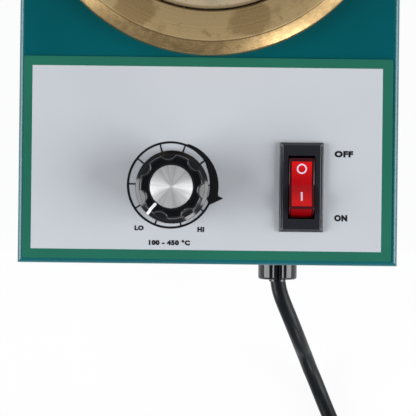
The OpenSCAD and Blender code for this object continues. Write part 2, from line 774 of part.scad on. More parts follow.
module control_board() color(board_green) difference() {
    translate([board_x, board_y, board_z]) linear_extrude(board_t) round_rect(board_w, board_d, 1);
    board_places() translate([0, 0, board_z - eps])
        cylinder(r = board_screw_d / 2 + loose, h = board_t + 2 * eps);
}

module board_spacers() color(brass) board_places() translate([0, 0, floor_z]) difference() {
    cylinder(r = spacer_d / 2 / cos(30), h = spacer_h, $fn = 6);
    translate([0, 0, -eps]) cylinder(r = board_screw_d / 2 + thread_play, h = spacer_h + 2 * eps);
}

// One screw from above and one from below for each spacer
module board_screws() color(steel) board_places() {
    translate([0, 0, board_top]) pan_screw(board_screw_d, board_t + 3, 5.4, 1.8);
    translate([0, 0, foot_h]) mirror([0, 0, 1]) pan_screw(board_screw_d, base_t + 3, 5.4, 1.8);
}

module heat_sink() color("#a9adb2") translate([sink_x, sink_y, board_top]) {
    translate([-sink_w / 2, -1.5, 0]) cube([sink_w, 3, sink_h]);
    for (i = [0:5]) translate([-sink_w / 2 + i * (sink_w - 1.4) / 5, 1.4, 0])
        cube([1.4, sink_d - 3, sink_h]);
}

module triac() color(dark) translate([sink_x, sink_y - 1.5, board_top]) {
    translate([-5, -1.3, 6]) cube([10, 1.3, 15.5]);
    translate([-5, -4.5, 6]) cube([10, 4.5, 9.2]);
    for (i = [-1, 0, 1]) translate([i * 2.54 - 0.4, -2.6, 0]) cube([0.8, 0.6, 6 + eps]);
}

module film_capacitor() color("#c2a03a") translate([board_x - part_x - 3.5, board_y - 16, board_top])
    linear_extrude(15) round_rect(18, 8, 1);

module fuse_holder() color(dark) translate([board_x + part_x, board_y + 8, board_top]) {
    translate([-13, -4.5, 0]) cube([26, 9, 4]);
    for (s = [-1, 1]) translate([s * 11, 0, 4 - eps]) translate([-2, -4, 0]) cube([4, 8, 6]);
    translate([0, 0, 7.5]) pin_x(2.6, 20);
}

module terminal_block() color("#2f7d46")
    translate([block_x, block_y, board_top]) difference() {
        translate([-block_w / 2, -block_d / 2, 0]) cube([block_w, block_d, block_h]);
        for (i = [-1, 0, 1]) translate([i * core_pitch, 0, block_h - 3]) cylinder(d = 3.6, h = 4);
        for (i = [-1, 0, 1]) translate([i * core_pitch, -block_d / 2 - eps, block_h * 0.4])
            rotate([-90, 0, 0]) cylinder(d = core_d + 2 * loose, h = 4);
    }

module earth_stud() color(steel) translate([earth_x, earth_y, foot_h]) mirror([0, 0, 1])
    pan_screw(earth_d, base_t + 10, 2 * earth_d, 2);

module earth_nut() color(steel) translate([earth_x, earth_y, floor_z]) {
    hex_nut(7, 3.2, earth_d / 2 + thread_play);
}

module control_leads() color("#c8c03a") for (i = [-1, 0, 1])
    translate([knob_x + i * tag_pitch, knob_y + control_r + tag_l - lead_d / 2, board_top])
        cylinder(d = lead_d, h = tag_z - board_top);

module switch_leads() color("#7a4a28") for (i = [-1, 0, 1])
    translate([switch_x, switch_y + i * tab_pitch, board_top])
        cylinder(d = lead_d, h = body_z - tab_l - board_top);

lead_low_z = can_z - can_t - lead_drop;
lead_back_y = board_y + board_d / 2 - lead_margin;
module heater_leads() color("#e6e2da") for (s = [-1, 1])
    wire([
        [s * heater_lead_x, lead_hole_y, heater_z0], [s * heater_lead_x, lead_hole_y, lead_low_z],
        [s * heater_lead_x, lead_back_y, lead_low_z], [s * heater_lead_x, lead_back_y, board_top]
    ], lead_d);

sensor_low_z = (board_top + floor_z) / 2;
sensor_out_y = board_y + board_d / 2 + sensor_bend;
sensor_in_y = board_y + board_d / 2 - sensor_rise;
module sensor_lead() color("#c9a64a") wire([
    [0, pot_y, can_z - can_t - sensor_tail], [0, pot_y, sensor_low_z],
    [0, sensor_out_y, sensor_low_z], [0, sensor_out_y, board_top + sensor_rise],
    [0, sensor_in_y, board_top + sensor_rise], [0, sensor_in_y, board_top]
], lead_d);

// Brown, blue and earth cores from the end of the sheath to the terminals
module mains_cores() color("#6a7a3a") for (i = [-1, 0, 1])
    wire([
        [exit_x + i * 1.75, front_y + sheet_t + relief_in + inner_end, exit_z],
        [exit_x + i * 3.5, front_y + sheet_t + relief_in + inner_end + 4, exit_z - 1],
        [block_x + i * core_pitch, block_y - block_d / 2 - 2.5, board_top + block_h * 0.4],
        [block_x + i * core_pitch, block_y - block_d / 2 + 2, board_top + block_h * 0.4]
    ], core_d * 0.8);

// ---- mains lead ----

module strain_relief() color(dark) translate([exit_x, front_y, exit_z]) rotate([90, 0, 0])
    difference() {
        rotate_extrude() polygon([
            [cord_r + loose, -sheet_t - relief_in], [relief_neck_r + 0.2, -sheet_t - relief_in],
            [relief_neck_r + 1, -sheet_t - 0.1], [relief_neck_r, -sheet_t - 0.1],
            [relief_neck_r, 0], [relief_r, 0], [relief_r, relief_l - 0.8],
            [relief_r - 0.25, relief_l - 0.25], [relief_r - 0.8, relief_l],
            [cord_r + 1.6, relief_l], [cord_r + 1, relief_l + 0.8], [cord_r + loose, relief_l + 0.8]
        ]);
        // wedge joint across the top, where the two halves close on the lead
        translate([-1.4, relief_r - 0.8, -eps]) cube([2.8, 2, relief_l + 2 * eps]);
    }

module cord_lead() color(dark) tube(lead_route, cord_r, 10);

// Envelope of the coiled lead
module cord_coil() color(dark) translate([coil_x, coil_y, 0]) rotate_extrude($fn = 48)
    translate([coil_in - cord_r, 0]) polygon([
        [1.6, 0], [coil_out - coil_in + cord_d - 1.6, 0],
        [coil_out - coil_in + cord_d, 1.6], [coil_out - coil_in + cord_d, coil_h - 1.6],
        [coil_out - coil_in + cord_d - 1.6, coil_h], [1.6, coil_h],
        [0, coil_h - 1.6], [0, 1.6]
    ]);

// Wire tie closed round the coil's turns
module cord_tie() color(dark) translate([coil_x, coil_y, 0]) rotate(tie_turn)
    translate([coil_in - cord_r - tie_t, tie_w / 2, 0]) rotate([90, 0, 0]) linear_extrude(tie_w)
        difference() {
            square([coil_out - coil_in + cord_d + 2 * tie_t, coil_h + tie_t]);
            translate([tie_t, tie_t]) square([coil_out - coil_in + cord_d, coil_h - tie_t]);
        }

module cord_tail() color(dark) tube(tail_route, cord_r, 10);

// Flat angled plug lying on its back, pins up, with its tail towards the front
module plug_body() color(dark) translate([plug_x, plug_y, 0]) {
    difference() {
        union() {
            rotate_extrude() polygon([
                [0, 0], [plug_d / 2 - 3, 0], [plug_d / 2 - 1, 1], [plug_d / 2, 3],
                [plug_d / 2, plug_h - 1], [plug_d / 2 - 1, plug_h], [0, plug_h]
            ]);
            translate([0, 0, plug_axis_z]) rotate([90, 0, 0]) rotate_extrude() polygon([
                [0, plug_d / 2 - 6], [7.2, plug_d / 2 - 6], [6.6, plug_d / 2 + 3],
                [cord_r + 1.2, plug_d / 2 + tail_l], [0, plug_d / 2 + tail_l]
            ]);
        }
        for (s = [-1, 1]) translate([s * pin_pitch / 2, 0, plug_h - 5])
            cylinder(r = pin_d / 2, h = 10);
        translate([-2.6, plug_d / 2 - 2.6, 0]) cube([5.2, plug_d, through]);
        translate([0, -plug_d / 2 + 8, plug_h - 8]) cylinder(r = 2.4, h = 10);
    }
}

module plug_pins() color("#c9cccf") translate([plug_x, plug_y, plug_h - 5])
    for (s = [-1, 1]) translate([s * pin_pitch / 2, 0, 0]) rotate_extrude() polygon([
        [0, 0], [pin_d / 2, 0], [pin_d / 2, pin_l + 5 - 1.2], [pin_d / 2 - 1.2, pin_l + 5],
        [0, pin_l + 5]
    ]);

module plug_earth_clips() color("#c9cccf") translate([plug_x, plug_y, 0])
    translate([-2.4, plug_d / 2 - 2.6, 4]) cube([4.8, 0.8, plug_h - 3]);

cover();
base_tray();
side_screws();
rubber_feet();
foot_screws();
foot_nuts();
panel_overlay();
collar();
collar_screws();
crucible();
heater_band();
band_screw();
insulation_sleeve();
insulation_disc();
shield_can();
sensor_probe();
sensor_clip();
control_body();
control_tags();
control_bushing();
control_washer();
control_nut();
control_shaft();
knob_body();
knob_disc();
knob_grub_screw();
switch_housing();
switch_rocker();
switch_terminals();
control_board();
board_spacers();
board_screws();
triac();
heat_sink();
film_capacitor();
fuse_holder();
terminal_block();
earth_stud();
earth_nut();
control_leads();
switch_leads();
heater_leads();
sensor_lead();
mains_cores();
strain_relief();
cord_lead();
cord_coil();
cord_tie();
cord_tail();
plug_body();
plug_pins();
plug_earth_clips();
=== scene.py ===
import json
from math import cos, degrees, exp, pi, radians, sin, sqrt, tan

import bmesh
import bpy
from bpy.props import FloatProperty, FloatVectorProperty, IntProperty, PointerProperty
from mathutils import Matrix, Vector


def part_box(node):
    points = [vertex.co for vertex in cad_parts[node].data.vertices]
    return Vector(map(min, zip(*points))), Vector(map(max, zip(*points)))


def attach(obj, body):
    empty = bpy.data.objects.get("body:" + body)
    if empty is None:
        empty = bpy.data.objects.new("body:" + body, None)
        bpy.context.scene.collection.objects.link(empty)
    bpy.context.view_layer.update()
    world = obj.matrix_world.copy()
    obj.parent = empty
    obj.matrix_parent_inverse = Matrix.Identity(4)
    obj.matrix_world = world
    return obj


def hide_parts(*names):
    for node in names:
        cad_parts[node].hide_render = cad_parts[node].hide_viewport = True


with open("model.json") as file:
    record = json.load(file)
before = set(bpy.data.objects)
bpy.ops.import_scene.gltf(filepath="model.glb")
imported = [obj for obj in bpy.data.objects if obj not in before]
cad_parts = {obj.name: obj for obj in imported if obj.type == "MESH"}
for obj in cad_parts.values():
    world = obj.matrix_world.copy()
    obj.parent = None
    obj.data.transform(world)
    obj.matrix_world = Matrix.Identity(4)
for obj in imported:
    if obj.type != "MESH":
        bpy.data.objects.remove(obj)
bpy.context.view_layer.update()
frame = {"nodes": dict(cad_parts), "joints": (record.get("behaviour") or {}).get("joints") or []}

bl_info = {
    "name": "Solder Pot",
    "version": (1, 0, 0),
    "blender": (4, 5, 0),
    "location": "View3D > Sidebar > Solder Pot",
    "description": "Dresses the bench solder pot with its finishes, print, knob, switch and lead",
    "category": "Object",
}

MM = 0.001
NODES = frame["nodes"]
JOINTS = {joint["name"]: joint for joint in frame["joints"]}

# settings that many nodes share
BLEND = {"output": 2, "data_type": "RGBA"}             # a Mix node between two colours
SMOOTH = {"interpolation_type": "SMOOTHSTEP"}          # a Map Range node with soft ends


def millimetres(point):
    return Vector(point) / MM


def corners(node):
    """Lowest and highest corner of a node's box, in mm."""
    return [millimetres(corner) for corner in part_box(node)]


def middle(node):
    low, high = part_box(node)
    return millimetres((low + high) / 2)


KNOB_AT = millimetres(JOINTS["knob_turn"]["pos_m"])
PIVOT_AT = millimetres(JOINTS["rocker_press"]["pos_m"])
POT_AT = middle("crucible")
PANEL_Z = corners("panel_overlay")[1].z
RIM_Z = corners("collar")[1].z
FRONT_Y = corners("cover")[0].y


# ---- colours and nodes ----

def linear(hex_colour):
    """Linear RGBA of an sRGB hex value such as "#9aa0a4"."""
    parts = [int(hex_colour[i:i + 2], 16) / 255 for i in (1, 3, 5)]
    return [c / 12.92 if c <= 0.04045 else ((c + 0.055) / 1.055) ** 2.4 for c in parts] + [1.0]


def shaded(colour, amount):
    """The colour made darker or lighter by amount."""
    return [min(1.0, c * amount) for c in colour[:3]] + [1.0]


def feed(tree, node, inputs):
    """Sets a node's inputs. Each is a plain value, or the output that is linked to it."""
    for name, value in inputs.items():
        if isinstance(value, bpy.types.NodeSocket):
            tree.links.new(value, node.inputs[name])
        else:
            node.inputs[name].default_value = value


def add_node(tree, kind, inputs=None, output=0, **settings):
    """Adds one node with its settings and links. Returns the wanted output."""
    made = tree.nodes.new("ShaderNode" + kind)
    for name, value in settings.items():
        setattr(made, name, value)
    feed(tree, made, inputs or {})
    return made.outputs[output] if made.outputs else None


def start_finish(name):
    """A new material. Returns it with its tree, its shader and the position in mm."""
    material = bpy.data.materials.new(name)
    material.use_nodes = True
    tree = material.node_tree
    place = add_node(tree, "TexCoord", output="Object")
    place = add_node(tree, "VectorMath", {0: place, "Scale": 1 / MM}, operation="SCALE")
    return material, tree, tree.nodes["Principled BSDF"], place


def from_axis(tree, place, axis):
    """Level offset from an upright axis in mm, and its length."""
    flat = add_node(tree, "VectorMath", {0: place, 1: tuple(axis)}, operation="SUBTRACT")
    flat = add_node(tree, "VectorMath", {0: flat, 1: (1, 1, 0)}, operation="MULTIPLY")
    return flat, add_node(tree, "VectorMath", {0: flat}, "Value", operation="LENGTH")


def two_toned(name, colour, other, size, shine, detail=2.0, span=None, grain=None, depth=0.0):
    """A finish in two tones over a relief. size is the width of a patch in mm, shine what is
    the same all over, and span the noise levels between which the tone turns. The relief is
    depth mm deep and follows the tone, unless grain gives it a width of its own in mm."""
    material, tree, shader, place = start_finish(name)
    relief = tone = add_node(tree, "TexNoise", {"Vector": place, "Scale": 1 / size,
                                                "Detail": detail})
    if span:
        tone = add_node(tree, "MapRange", {0: tone, 1: span[0], 2: span[1]})
    if grain:
        relief = add_node(tree, "TexNoise", {"Vector": place, "Scale": 1 / grain, "Detail": 2.0})
    if depth:
        feed(tree, shader, {"Normal": add_node(tree, "Bump", {"Height": relief,
                                                              "Distance": depth * MM})})
    tone = add_node(tree, "Mix", {0: tone, 6: colour, 7: other}, **BLEND)
    feed(tree, shader, {"Base Color": tone, **shine})
    return material


# ---- finishes ----

def baked_enamel(colour):
    """Baked enamel on folded steel: an even sheen over a fine orange peel of about 1.5 mm,
    with a few pale specks where solder has spat on it, one to every 13 mm."""
    material, tree, shader, place = start_finish("baked_enamel")
    drift = add_node(tree, "TexNoise", {"Vector": place, "Scale": 1 / 45, "Detail": 2.0})
    drift = add_node(tree, "MapRange", {0: drift, 1: 0.35, 2: 0.65}, **SMOOTH)
    paint = add_node(tree, "Mix", {0: drift, 6: colour, 7: shaded(colour, 1.12)}, **BLEND)
    peel = add_node(tree, "TexNoise", {"Vector": place, "Scale": 1 / 1.5, "Detail": 1.0})
    dust = add_node(tree, "TexNoise", {"Vector": place, "Scale": 1 / 0.9, "Detail": 3.0})
    spat = add_node(tree, "TexVoronoi", {"Vector": place, "Scale": 1 / 13}, "Distance")
    spat = add_node(tree, "MapRange", {0: spat, 1: 0.035, 2: 0.015, 4: 0.6})
    feed(tree, shader, {
        "Base Color": add_node(tree, "Mix", {0: spat, 6: paint, 7: linear("#8fb6b8")}, **BLEND),
        "Roughness": add_node(tree, "MapRange", {0: dust, 1: 0.72, 2: 0.8, 3: 0.22, 4: 0.5}),
        "Specular IOR Level": 0.45,
        "Normal": add_node(tree, "Bump", {"Height": peel, "Distance": 0.012 * MM})})
    return material


def zinc_plate(colour):
    """Bright zinc plating: a cool grey with faint spangles about 3 mm across."""
    material, tree, shader, place = start_finish("zinc_plate")
    spangle = add_node(tree, "TexVoronoi", {"Vector": place, "Scale": 1 / 3.0}, "Distance")
    tint = add_node(tree, "MapRange", {0: spangle, 1: 0.1, 2: 0.7})
    cloud = add_node(tree, "TexNoise", {"Vector": place, "Scale": 1 / 4.0, "Detail": 2.0})
    feed(tree, shader, {
        "Base Color": add_node(tree, "Mix", {0: tint, 6: colour, 7: shaded(colour, 0.88)}, **BLEND),
        "Roughness": add_node(tree, "MapRange", {0: cloud, 1: 0.3, 2: 0.7, 3: 0.26, 4: 0.42}),
        "Metallic": 1.0})
    return material


def nickel_plate(colour):
    """Nickel plating on turned steel: bright, with hairline marks 0.2 mm apart."""
    material, tree, shader, place = start_finish("nickel_plate")
    marks = add_node(tree, "TexNoise", {"Vector": place, "Scale": 1 / 0.2, "Detail": 1.0})
    feed(tree, shader, {
        "Base Color": colour, "Metallic": 1.0,
        "Roughness": add_node(tree, "MapRange", {0: marks, 1: 0.3, 2: 0.7, 3: 0.14, 4: 0.28}),
        "Normal": add_node(tree, "Bump", {"Height": marks, "Distance": 0.002 * MM})})
    return material


def black_oxide(colour):
    """Blackened steel: dark, a little oily, with a fine mottle of about 1 mm."""
    return two_toned("black_oxide", colour, shaded(colour, 1.8), 1.0,
                     {"Roughness": 0.4, "Metallic": 1.0}, detail=3.0, span=(0.35, 0.65))


def bright_brass(colour):
    """Stamped or turned brass: yellow and clean, with rolling marks about 0.3 mm apart."""
    return two_toned("bright_brass", colour, shaded(colour, 0.82), 0.3,
                     {"Roughness": 0.28, "Metallic": 1.0}, depth=0.004)


def moulded_black(name, colour, roughness, grain_size, depth, sheen=0.35):
    """Black moulding: dark and even, glossy where the die was polished, with its faint grain."""
    return two_toned(name, colour, shaded(colour, 1.5), grain_size,
                     {"Roughness": roughness, "Specular IOR Level": sheen}, depth=depth)


def moulded_plastic(name, colour, roughness=0.45):
    """Plain moulded plastic: a slight drift in tone over a die texture of about 0.8 mm."""
    return two_toned(name, colour, shaded(colour, 0.82), 6, {"Roughness": roughness},
                     grain=0.8, depth=0.01)


def foot_rubber(colour):
    """Moulded rubber: dull black with a dusty bloom in patches of about 5 mm."""
    return two_toned("foot_rubber", colour, linear("#2a2a2b"), 5.0,
                     {"Roughness": 0.8, "Specular IOR Level": 0.3}, detail=4.0, span=(0.4, 0.75),
                     grain=0.7, depth=0.03)


def print_ink(name, colour):
    """Screen ink: dense and satin, with a cover that varies very slightly every 0.4 mm."""
    return two_toned(name, colour, shaded(colour, 0.9), 0.4,
                     {"Roughness": 0.5, "Specular IOR Level": 0.3}, span=(0.2, 0.8))


def heater_sheath(colour):
    """Stainless strip that has been hot: straw and brown bands over brushed grey."""
    return two_toned("heater_sheath", colour, linear("#6d5138"), 14,
                     {"Roughness": 0.42, "Metallic": 1.0}, detail=3.0, span=(0.35, 0.7),
                     grain=0.5, depth=0.006)


def ceramic_fibre(colour):
    """Pressed ceramic fibre: chalky white with matted fibres about 1.2 mm long."""
    material, tree, shader, place = start_finish("ceramic_fibre")
    fibre = add_node(tree, "TexNoise", {"Vector": place, "Scale": 1 / 1.2, "Detail": 4.0,
                                        "Roughness": 0.7})
    feed(tree, shader, {
        "Base Color": add_node(tree, "Mix", {0: fibre, 6: colour, 7: shaded(colour, 0.8)}, **BLEND),
        "Roughness": 0.95,
        "Normal": add_node(tree, "Bump", {"Height": fibre, "Distance": 0.15 * MM})})
    return material


def circuit_laminate(colour):
    """Green solder mask on glass laminate: glossy, the weave just visible at 0.9 mm."""
    material, tree, shader, place = start_finish("circuit_laminate")
    weave = add_node(tree, "TexBrick", {"Vector": place, "Scale": 1 / 0.9, "Mortar Size": 0.05,
                                        "Color1": colour, "Color2": shaded(colour, 0.8),
                                        "Mortar": shaded(colour, 1.4)}, "Color")
    feed(tree, shader, {"Base Color": weave, "Roughness": 0.3})
    return material


def glass_braid(colour):
    """Woven glass sleeving: off-white, with a braid of 0.6 mm."""
    material, tree, shader, place = start_finish("glass_braid")
    braid = add_node(tree, "TexChecker", {"Vector": place, "Scale": 1 / 0.6, "Color1": colour,
                                          "Color2": shaded(colour, 0.7)}, "Color")
    feed(tree, shader, {
        "Base Color": braid, "Roughness": 0.8,
        "Normal": add_node(tree, "Bump", {"Height": braid, "Distance": 0.05 * MM})})
    return material


def mains_vinyl(colour):
    """Extruded black vinyl sheath: a soft gloss that varies a little every 5 mm or so."""
    material, tree, shader, place = start_finish("mains_vinyl")
    skin = add_node(tree, "TexNoise", {"Vector": place, "Scale": 1 / 5.0, "Detail": 1.0})
    feed(tree, shader, {
        "Base Color": add_node(tree, "Mix", {0: skin, 6: colour, 7: shaded(colour, 1.3)}, **BLEND),
        "Roughness": add_node(tree, "MapRange", {0: skin, 1: 0.3, 2: 0.7, 3: 0.3, 4: 0.36}),
        "Specular IOR Level": 0.12,
        "Normal": add_node(tree, "Bump", {"Height": skin, "Distance": 0.01 * MM})})
    return material


def cast_crucible(look):
    """Cast iron with a baked, oxidised skin: matt buff grey, pitted about every 1.4 mm, and
    browner on the edge of the lip, where the heat runs out."""
    material, tree, shader, place = start_finish("cast_crucible")
    radius = from_axis(tree, place, POT_AT)[1]
    crust = add_node(tree, "TexNoise", {"Vector": place, "Scale": 1 / 7, "Detail": 4.0,
                                        "Roughness": 0.6})
    crust = add_node(tree, "MapRange", {0: crust, 1: 0.35, 2: 0.7})
    pits = add_node(tree, "TexNoise", {"Vector": place, "Scale": 1 / 1.4, "Detail": 3.0,
                                       "Roughness": 0.6})
    pits = add_node(tree, "MapRange", {0: pits, 1: 0.3, 2: 0.42})
    edge = add_node(tree, "MapRange", {0: radius, 1: look.lip_radius - 1.2,
                                       2: look.lip_radius - 0.7})
    iron = look.iron_colour
    skin = add_node(tree, "Mix", {0: crust, 6: iron, 7: shaded(iron, 0.82)}, **BLEND)
    skin = add_node(tree, "Mix", {0: pits, 6: shaded(iron, 0.5), 7: skin}, **BLEND)
    feed(tree, shader, {
        "Base Color": add_node(tree, "Mix", {0: edge, 6: skin, 7: look.lip_colour}, **BLEND),
        "Roughness": 0.75, "Metallic": 0.2,
        "Normal": add_node(tree, "Bump", {"Height": pits, "Distance": 0.06 * MM})})
    return material


def turned_brass(look):
    """Cast brass, turned on its face and left to tarnish: brown-gold with darker patches,
    fine rings from the tool 0.55 mm apart, and a brighter, grainier slope at the rim."""
    material, tree, shader, place = start_finish("turned_brass")
    radius = from_axis(tree, place, POT_AT)[1]
    rings = add_node(tree, "TexNoise", {"W": radius, "Scale": 1 / 0.55, "Detail": 3.0},
                     noise_dimensions="1D")
    grain = add_node(tree, "TexNoise", {"Vector": place, "Scale": 1 / 0.6, "Detail": 2.0,
                                        "Roughness": 0.6})
    cloud = add_node(tree, "TexNoise", {"Vector": place, "Scale": 1 / look.patch_size,
                                        "Detail": 3.0, "Roughness": 0.55})
    fleck = add_node(tree, "TexNoise", {"Vector": place, "Scale": 1 / 2.6, "Detail": 2.0,
                                        "Roughness": 0.5})
    # tarnish: clouds all over, ragged stains where flux has run, and small flecks
    tarnish = add_node(tree, "MapRange", {0: cloud, 1: 0.54, 2: 0.66, 4: 0.5}, **SMOOTH)
    for turn, distance, reach in look.STAINS:
        at = clockwise(POT_AT, distance, turn)
        away = add_node(tree, "VectorMath", {0: place, 1: (*at, RIM_Z)}, "Value",
                        operation="DISTANCE")
        ragged = add_node(tree, "Math", {0: cloud, 1: -9.0, 2: away}, operation="MULTIPLY_ADD")
        ragged = add_node(tree, "Math", {0: fleck, 1: -5.0, 2: ragged}, operation="MULTIPLY_ADD")
        stain = add_node(tree, "MapRange", {0: ragged, 1: reach - 6.2, 2: reach - 9.0, 4: 0.9},
                         **SMOOTH)
        tarnish = add_node(tree, "Math", {0: tarnish, 1: stain}, operation="MAXIMUM")
    spots = add_node(tree, "MapRange", {0: fleck, 1: 0.63, 2: 0.72, 4: 0.7}, **SMOOTH)
    tarnish = add_node(tree, "Math", {0: tarnish, 1: spots}, operation="MAXIMUM")
    # the face: rings that catch the light, painted as a paler colour, and a line of painted shade
    # round the bore
    face = add_node(tree, "Mix", {0: tarnish, 6: look.flat_colour, 7: look.tarnish_colour}, **BLEND)
    shine = add_node(tree, "Math", {0: rings, 1: grain}, operation="MULTIPLY")
    shine = add_node(tree, "Math", {0: shine, 1: 0.5}, operation="MULTIPLY")
    face = add_node(tree, "Mix", {0: shine, 6: face, 7: linear("#e9d6ab")}, **BLEND)
    # painted shade: the face darkens to brown-black just outside the bore, beside the gap to the
    # crucible
    inner = add_node(tree, "MapRange", {0: radius, 1: look.bore_radius + 0.7,
                                        2: look.bore_radius + 0.2})
    face = add_node(tree, "Mix", {0: inner, 6: face, 7: linear("#5a4323")}, **BLEND)
    # the slope: mottled, and duller where hands and iron have worn it
    brass = look.slope_colour
    mottle = add_node(tree, "MapRange", {0: grain, 1: 0.35, 2: 0.65})
    slope = add_node(tree, "Mix", {0: mottle, 6: brass, 7: shaded(brass, 1.5)}, **BLEND)
    worn = add_node(tree, "Math", {0: cloud, 1: fleck}, operation="ADD")
    worn = add_node(tree, "MapRange", {0: worn, 1: 0.85, 2: 1.25, 4: 0.75})
    slope = add_node(tree, "Mix", {0: worn, 6: slope, 7: shaded(brass, 0.7)}, **BLEND)
    # painted shade: a dark line in the corner of the step between them
    corner = add_node(tree, "Math", {0: radius, 1: look.slope_radius, 2: 0.22},
                      operation="COMPARE")
    corner = add_node(tree, "Math", {0: corner, 1: 0.5}, operation="MULTIPLY")
    on_slope = add_node(tree, "MapRange", {0: radius, 1: look.slope_radius - 0.3,
                                           2: look.slope_radius + 0.1})
    whole = add_node(tree, "Mix", {0: on_slope, 6: face, 7: slope}, **BLEND)
    height = add_node(tree, "Math", {0: rings, 1: 0.5, 2: grain}, operation="MULTIPLY_ADD")
    feed(tree, shader, {
        # the base colour carries the painted shade line at the step
        "Base Color": add_node(tree, "Mix", {0: corner, 6: whole, 7: linear("#4d3b20")}, **BLEND),
        "Roughness": add_node(tree, "MapRange", {0: on_slope, 3: 0.5, 4: 0.36}),
        "Metallic": add_node(tree, "MapRange", {0: on_slope, 3: 0.6, 4: 0.95}),
        "Normal": add_node(tree, "Bump", {"Height": height, "Distance": 0.02 * MM})})
    return material


def spun_aluminium(colour):
    """Spun aluminium disc: rings too fine to see apart spread each light into a bright wedge,
    with dark rays of painted reflection round the disc, in place of the light and dark wedges its
    reflection shows."""
    material, tree, shader, place = start_finish("spun_aluminium")
    flat, radius = from_axis(tree, place, KNOB_AT)
    rings = add_node(tree, "TexNoise", {"W": radius, "Scale": 1 / 0.3, "Detail": 2.0},
                     noise_dimensions="1D")
    rings = add_node(tree, "MapRange", {0: rings, 1: 0.3, 2: 0.7, 4: 0.5})
    heading = add_node(tree, "VectorMath", {0: flat}, operation="NORMALIZE")
    rays = add_node(tree, "TexNoise", {"Vector": heading, "Scale": 3.4, "Detail": 3.0,
                                       "Roughness": 0.75})
    # painted reflection: where the rays are low, the colour darkens towards 0.45 of itself
    rays = add_node(tree, "MapRange", {0: rays, 1: 0.4, 2: 0.58, 3: 0.6})
    shine = add_node(tree, "Mix", {0: rings, 6: colour, 7: shaded(colour, 0.86)}, **BLEND)
    feed(tree, shader, {
        "Base Color": add_node(tree, "Mix", {0: rays, 6: shaded(colour, 0.45), 7: shine}, **BLEND),
        "Roughness": 0.46, "Metallic": 0.66, "Anisotropic": 0.82, "Anisotropic Rotation": 0.25,
        "Tangent": add_node(tree, "Tangent", direction_type="RADIAL", axis="Z")})
    return material


def printed_film(look, field):
    """Screen-printed polyester film: a flat grey field inside a green border, with a very
    fine satin grain. field is its left, right, front and rear in mm."""
    material, tree, shader, place = start_finish("printed_film")
    left, right, front, rear = field
    centre = ((left + right) / 2, (front + rear) / 2, 0)
    off = add_node(tree, "VectorMath", {0: place, 1: centre}, operation="SUBTRACT")
    off = add_node(tree, "VectorMath", {0: off, 1: (right - left, rear - front, 1)},
                   operation="DIVIDE")
    off = add_node(tree, "VectorMath", {0: off}, operation="ABSOLUTE")
    across = add_node(tree, "SeparateXYZ", {0: off}, "X")
    along = add_node(tree, "SeparateXYZ", {0: off}, "Y")
    reach = add_node(tree, "Math", {0: across, 1: along}, operation="MAXIMUM")
    inside = add_node(tree, "Math", {0: reach, 1: 0.5}, operation="LESS_THAN")
    drift = add_node(tree, "TexNoise", {"Vector": place, "Scale": 1 / 30, "Detail": 2.0})
    drift = add_node(tree, "MapRange", {0: drift, 1: 0.3, 2: 0.7})
    grain = add_node(tree, "TexNoise", {"Vector": place, "Scale": 1 / 0.6, "Detail": 1.0})
    grey, green = (add_node(tree, "Mix", {0: drift, 6: colour, 7: shaded(colour, amount)}, **BLEND)
                   for colour, amount in ((look.field_colour, 0.97), (look.border_colour, 1.12)))
    feed(tree, shader, {
        "Base Color": add_node(tree, "Mix", {0: inside, 6: green, 7: grey}, **BLEND),
        "Roughness": 0.32, "Specular IOR Level": 0.25,
        "Normal": add_node(tree, "Bump", {"Height": grain, "Distance": 0.004 * MM})})
    return material


def red_lens(name, colour, middle_shade_colour, low, high):
    """Red polycarbonate over a lamp: clear and glossy, with painted shade that darkens it towards
    the fold in its middle.
    low and high are its ends along Y in mm."""
    material, tree, shader, place = start_finish(name)
    along = add_node(tree, "SeparateXYZ", {0: place}, "Y")
    away = add_node(tree, "Math", {0: along, 1: (low + high) / 2}, operation="SUBTRACT")
    away = add_node(tree, "Math", {0: away}, operation="ABSOLUTE")
    side = add_node(tree, "MapRange", {0: away, 1: 0.5, 2: (high - low) / 2}, **SMOOTH)
    cloud = add_node(tree, "TexNoise", {"Vector": place, "Scale": 1 / 2.2, "Detail": 2.0})
    mixed = add_node(tree, "Math", {0: cloud, 1: 0.25, 2: side}, operation="MULTIPLY_ADD")
    feed(tree, shader, {
        "Base Color": add_node(tree, "Mix", {0: mixed, 6: middle_shade_colour, 7: colour}, **BLEND),
        "Roughness": 0.22, "Specular IOR Level": 0.3})
    return material


# ---- meshes ----

def add_piece(name, solid, material, body="housing", replaced=(), smooth=30):
    """A closed mesh from (points in mm, faces), riding on a body. Edges that turn by more
    than smooth degrees stay sharp."""
    points, faces = solid
    mesh = bpy.data.meshes.new(name)
    mesh.from_pydata([Vector(p) * MM for p in points], [], faces)
    work = bmesh.new()
    work.from_mesh(mesh)
    bmesh.ops.recalc_face_normals(work, faces=work.faces)
    work.to_mesh(mesh)
    work.free()
    mesh.shade_smooth()
    mesh.set_sharp_from_angle(angle=radians(smooth))
    mesh.materials.append(material)
    piece = bpy.data.objects.new(name, mesh)
    bpy.context.scene.collection.objects.link(piece)
    settle(piece, body, replaced)
    return piece


def settle(piece, body, replaced=()):
    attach(piece, body)
    if replaced:
        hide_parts(*replaced)


